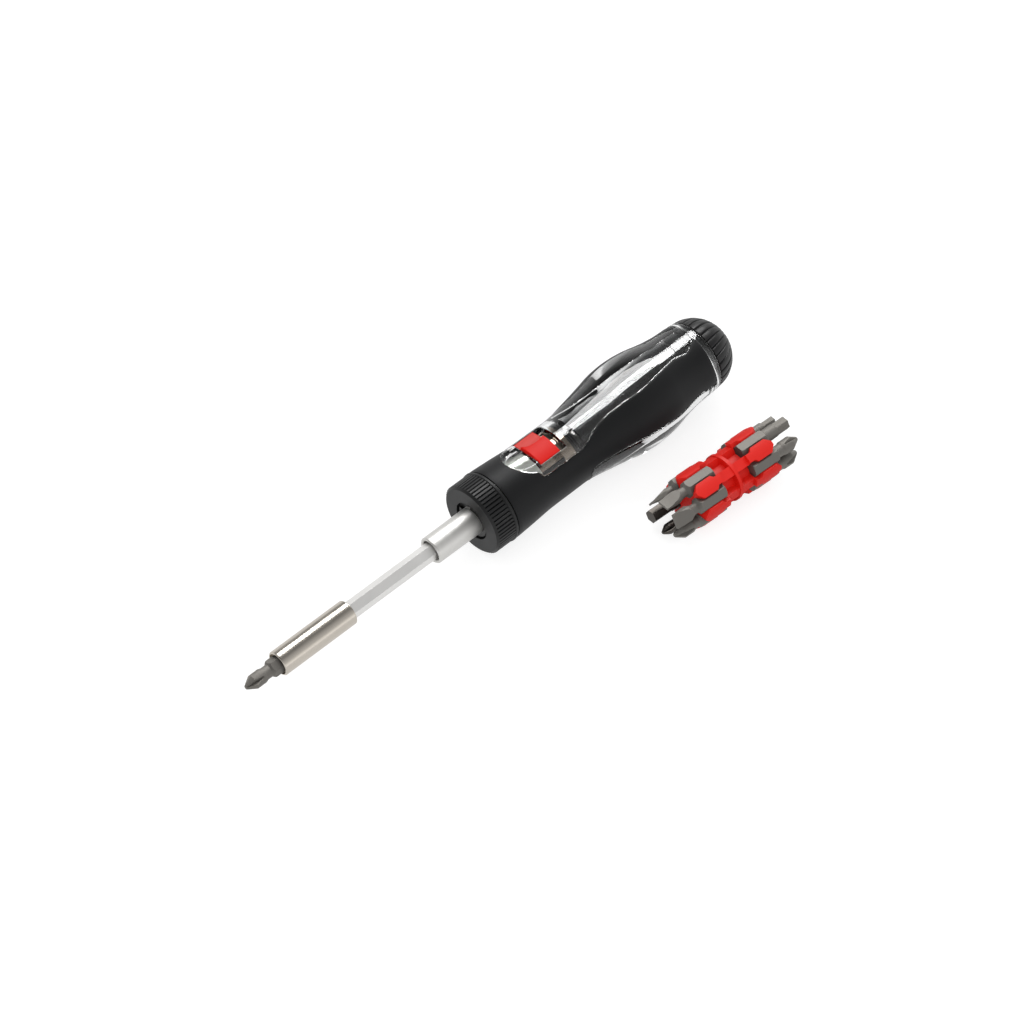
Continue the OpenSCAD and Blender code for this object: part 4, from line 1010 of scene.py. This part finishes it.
@dataclass
class Slider:
    """The red thumb slider: a curved plate with a crest along it, a scoop beyond it and a dish before it.

    Args:
        near: station of its front edge behind the ring face.
        length: its length.
        at: its angle about the axis.
        half: half of its angle.
        outer: its outer radius.
        inner: its inner radius.
        scoop: the depth of the scoop.
        dish: the depth of the dish.
        edge: width and drop of the rounding along its rim.
        edge_mm: how many millimetres from the rim a degree at its sides counts for.
        foot: rear and front station of the foot below it, with its radii and half angle.
        foot_steps: how many points each edge of the foot has.
        crest: the crest's line, by share of the length and angle from the middle.
    """

    near: float = 31.1
    length: float = 10.1
    at: float = 100.5
    half: float = 34.0
    outer: float = 14.32
    inner: float = 11.82
    scoop: float = 1.5
    dish: float = 0.12
    edge: tuple[float, float] = (0.45, 0.3)
    edge_mm: float = 0.25
    foot: tuple[float, float, float, float, float] = (41.45, 35.9, 11.86, 7.8, 30.0)
    foot_steps: int = 25
    crest: Outline = ((0, 14.0), (0.06, 11.4), (0.25, 4.6), (0.52, 3.0), (0.74, 3.4), (1, 5.4))

    def plate(self, x: np.ndarray, turn: np.ndarray) -> np.ndarray:
        """Gives the plate's outer radius.

        Args:
            x: places along X.
            turn: angles from its middle.

        Returns:
            The radius at each point.
        """
        run = np.clip((-x - self.near) / self.length, 0, 1)
        line = curve_through(self.crest, 8)
        crest = np.interp(run, line[:, 0], line[:, 1])
        beyond = np.clip((turn - crest) / (self.half - crest), 0, 1)
        before = np.clip((crest - turn) / (self.half + crest), 0, 1)
        dip = self.scoop * np.sin(math.pi * beyond**0.5) + self.dish * np.sin(math.pi * before)
        ends = np.minimum(-self.near - x, x + self.near + self.length)
        edge = np.minimum(ends, (self.half - np.abs(turn)) * self.edge_mm)
        return self.outer - dip - rounding(np.maximum(edge, 0), *self.edge)

    def plate_mesh(self) -> tuple[list[np.ndarray], list[list[int]]]:
        """Lays the plate's two sides and closes them along the rim.

        Returns:
            The points of each side, and the faces.
        """
        ends = np.array([0, 0.06, 0.15, 0.28, 0.45])
        rows = np.concatenate([ends, np.linspace(0.7, self.length - 0.7, 30), self.length - ends[::-1]])
        wide = ends * 4
        fan = np.concatenate([-self.half + wide, np.linspace(-31.5, 31.5, 84), self.half - wide[::-1]])
        drop, turn = np.meshgrid(rows, fan, indexing="ij")
        x = -self.near - drop
        a = np.radians(self.at + turn)
        sides = []
        for r in (self.plate(x, turn), np.full_like(x, self.inner)):
            sides.append(np.stack([x, r * np.cos(a), r * np.sin(a)], axis=-1).reshape(-1, 3))
        n, m = x.shape
        count = n * m
        faces = []
        for i in range(n - 1):
            for k in range(m - 1):
                quad = [i * m + k, i * m + k + 1, (i + 1) * m + k + 1, (i + 1) * m + k]
                faces += [quad, [count + q for q in reversed(quad)]]
        rim = list(range(m)) + [i * m + m - 1 for i in range(1, n)]
        rim += [(n - 1) * m + k for k in range(m - 2, -1, -1)] + [i * m for i in range(n - 2, 0, -1)]
        faces += [[rim[i - 1], rim[i], count + rim[i], count + rim[i - 1]] for i in range(len(rim))]
        return sides, faces

    def foot_mesh(self, base: int) -> tuple[list[list[float]], list[list[int]]]:
        """Lays the foot, which reaches down to the collar.

        Args:
            base: the number of its first point.

        Returns:
            Points and faces.
        """
        rear, front, outer, inner, half = self.foot
        n = self.foot_steps
        corners = []
        steps = np.radians(self.at + np.linspace(-half, half, n))
        for s, r in ((rear, outer), (front, outer), (front, inner), (rear, inner)):
            corners += [[-s, r * math.cos(b), r * math.sin(b)] for b in steps]
        faces = []
        for i in range(4):
            j = (i + 1) % 4
            for k in range(n - 1):
                faces.append([base + i * n + k, base + i * n + k + 1, base + j * n + k + 1, base + j * n + k])
        faces += [[base + i * n for i in range(4)], [base + i * n + n - 1 for i in range(3, -1, -1)]]
        return corners, faces

    def paint_scoop_sheen(self, piece: bpy.types.Object) -> None:
        """Gives the faces of the thumb scoop the paler red, a painted sheen where the scoop catches the light.

        Args:
            piece: the slider.
        """
        piece.data.materials.append(SHEEN_PAINTED_ABS.material())
        line = curve_through(self.crest, 8)
        for face in piece.data.polygons:
            middle = face.center / MM
            turn = math.degrees(math.atan2(middle.z, middle.y)) - self.at
            run = (-middle.x - self.near) / self.length
            outside = math.hypot(middle.y, middle.z) > self.inner + 0.3
            on_plate = outside and 0.04 < run < 0.96 and turn < self.half - 2
            # Faces beyond the crest take the paler red: painted sheen on the far side of the scoop.
            face.material_index = int(on_plate and turn > np.interp(run, line[:, 0], line[:, 1]) + 0.6)

    def build(self) -> None:
        """Builds the slider."""
        sides, faces = self.plate_mesh()
        corners, foot_faces = self.foot_mesh(sum(len(side) for side in sides))
        verts = np.vstack(sides + [corners])
        piece = add_piece("thumb_slider", verts, faces + foot_faces, RED_ABS, "slider", "release_slider")
        self.paint_scoop_sheen(piece)


@dataclass(frozen=True)
class Softened:
    """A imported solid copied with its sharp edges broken, as moulding, turning or tumbling leaves them.

    Args:
        node: the solid's name.
        finish: what it is made of.
        edge_mm: the width of the broken edge.
        sharp: the least angle between faces that counts as an edge, in degrees.
        flat: the angle up to which faces count as one, in degrees.
    """

    node: str
    finish: Finish
    edge_mm: float = 0.12
    sharp: float = 24.0
    flat: float = 0.6

    def build(self, nodes: dict[str, bpy.types.Object], bodies: dict[str, str]) -> None:
        """Builds the piece in place of its solid.

        Args:
            nodes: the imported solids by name.
            bodies: the body of each solid.
        """
        form = bmesh.new()
        form.from_mesh(nodes[self.node].data)
        bmesh.ops.remove_doubles(form, verts=form.verts, dist=1e-6)
        flat = math.radians(self.flat)
        bmesh.ops.dissolve_limit(form, angle_limit=flat, verts=form.verts, edges=form.edges)
        holed = [f for f in form.faces if len({corner.vert for corner in f.loops}) < len(f.loops)]
        bmesh.ops.triangulate(form, faces=holed)
        sharp = math.radians(self.sharp)
        edges = [e for e in form.edges if len(e.link_faces) == 2 and e.calc_face_angle(0) > sharp]
        bmesh.ops.bevel(
            form,
            geom=edges,
            offset=self.edge_mm * MM,
            offset_type="OFFSET",
            segments=2,
            profile=0.5,
            affect="EDGES",
            clamp_overlap=True,
        )
        mesh = bpy.data.meshes.new(self.node)
        form.to_mesh(mesh)
        form.free()
        carried = mesh.attributes.get("custom_normal")
        if carried:
            mesh.attributes.remove(carried)
        shade(mesh, 32)
        mesh.materials.append(self.finish.material())
        piece = bpy.data.objects.new(f"{self.node}_finished", mesh)
        bpy.context.scene.collection.objects.link(piece)
        flats = piece.modifiers.new("flats", "WEIGHTED_NORMAL")
        flats.keep_sharp = True
        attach(piece, bodies[self.node])
        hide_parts(self.node)
        log.info("%s: %d faces in %s", piece.name, len(mesh.polygons), self.finish.name)


# The steel of each bit in the magazine.
BITS: dict[str, Finish] = {
    "bit_slot_6": BLASTED_STEEL,
    "bit_slot_5": BLASTED_STEEL,
    "bit_slot_4": BLASTED_STEEL,
    "bit_hex_5": DARK_STEEL,
    "bit_cross_1": DARK_STEEL,
    "bit_cross_3": BLASTED_STEEL,
    "bit_double_cross_2": BLASTED_STEEL,
    "bit_hexalobe_30": BLASTED_STEEL,
    "bit_hexalobe_20": BLASTED_STEEL,
    "bit_hex_4": DARK_STEEL,
    "bit_hexalobe_10": BLASTED_STEEL,
    "bit_double_cross_3": BLASTED_STEEL,
}

# The solids that only need their edges broken.
SOFTENED = (
    Softened("selector_ring", NYLON, 0.1, 20.0),
    Softened("spindle_tube", SATIN_CHROME, 0.1),
    Softened("retaining_clip", BLACK_OXIDE, 0.12),
    Softened("lock_collar", BRIGHT_NICKEL, 0.15),
    Softened("hex_blade", BLADE_CHROME, 0.12),
    Softened("bit_holder", ROLLED_STEEL, 0.15),
    Softened("drive_bit", BLASTED_STEEL, 0.1),
    Softened("magazine_body", RED_PP, 0.18),
    *(Softened(name, steel, 0.1) for name, steel in BITS.items()),
)


def dress_carried(nodes: dict[str, bpy.types.Object]) -> None:
    """Gives every carried-over solid its finish.

    Args:
        nodes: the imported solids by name.
    """
    for name, finish in CARRIED.items():
        mesh = nodes[name].data
        mesh.materials.clear()
        mesh.materials.append(finish.material())
        log.info("%s in %s", name, finish.name)


def main() -> None:
    """Builds the scene in order."""
    logging.basicConfig(level=logging.INFO, format="%(name)s: %(message)s")
    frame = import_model()
    studio = Studio()
    studio.camera()
    studio.floor()
    studio.light()
    dress_carried(frame["nodes"])
    bodies = {n: body for body, held in frame["record"]["behaviour"]["bodies"].items() for n in held}
    for piece in SOFTENED:
        piece.build(frame["nodes"], bodies)
    Handle().build()
    Slider().build()
    Dome().build()


if __name__ == "__main__":
    main()
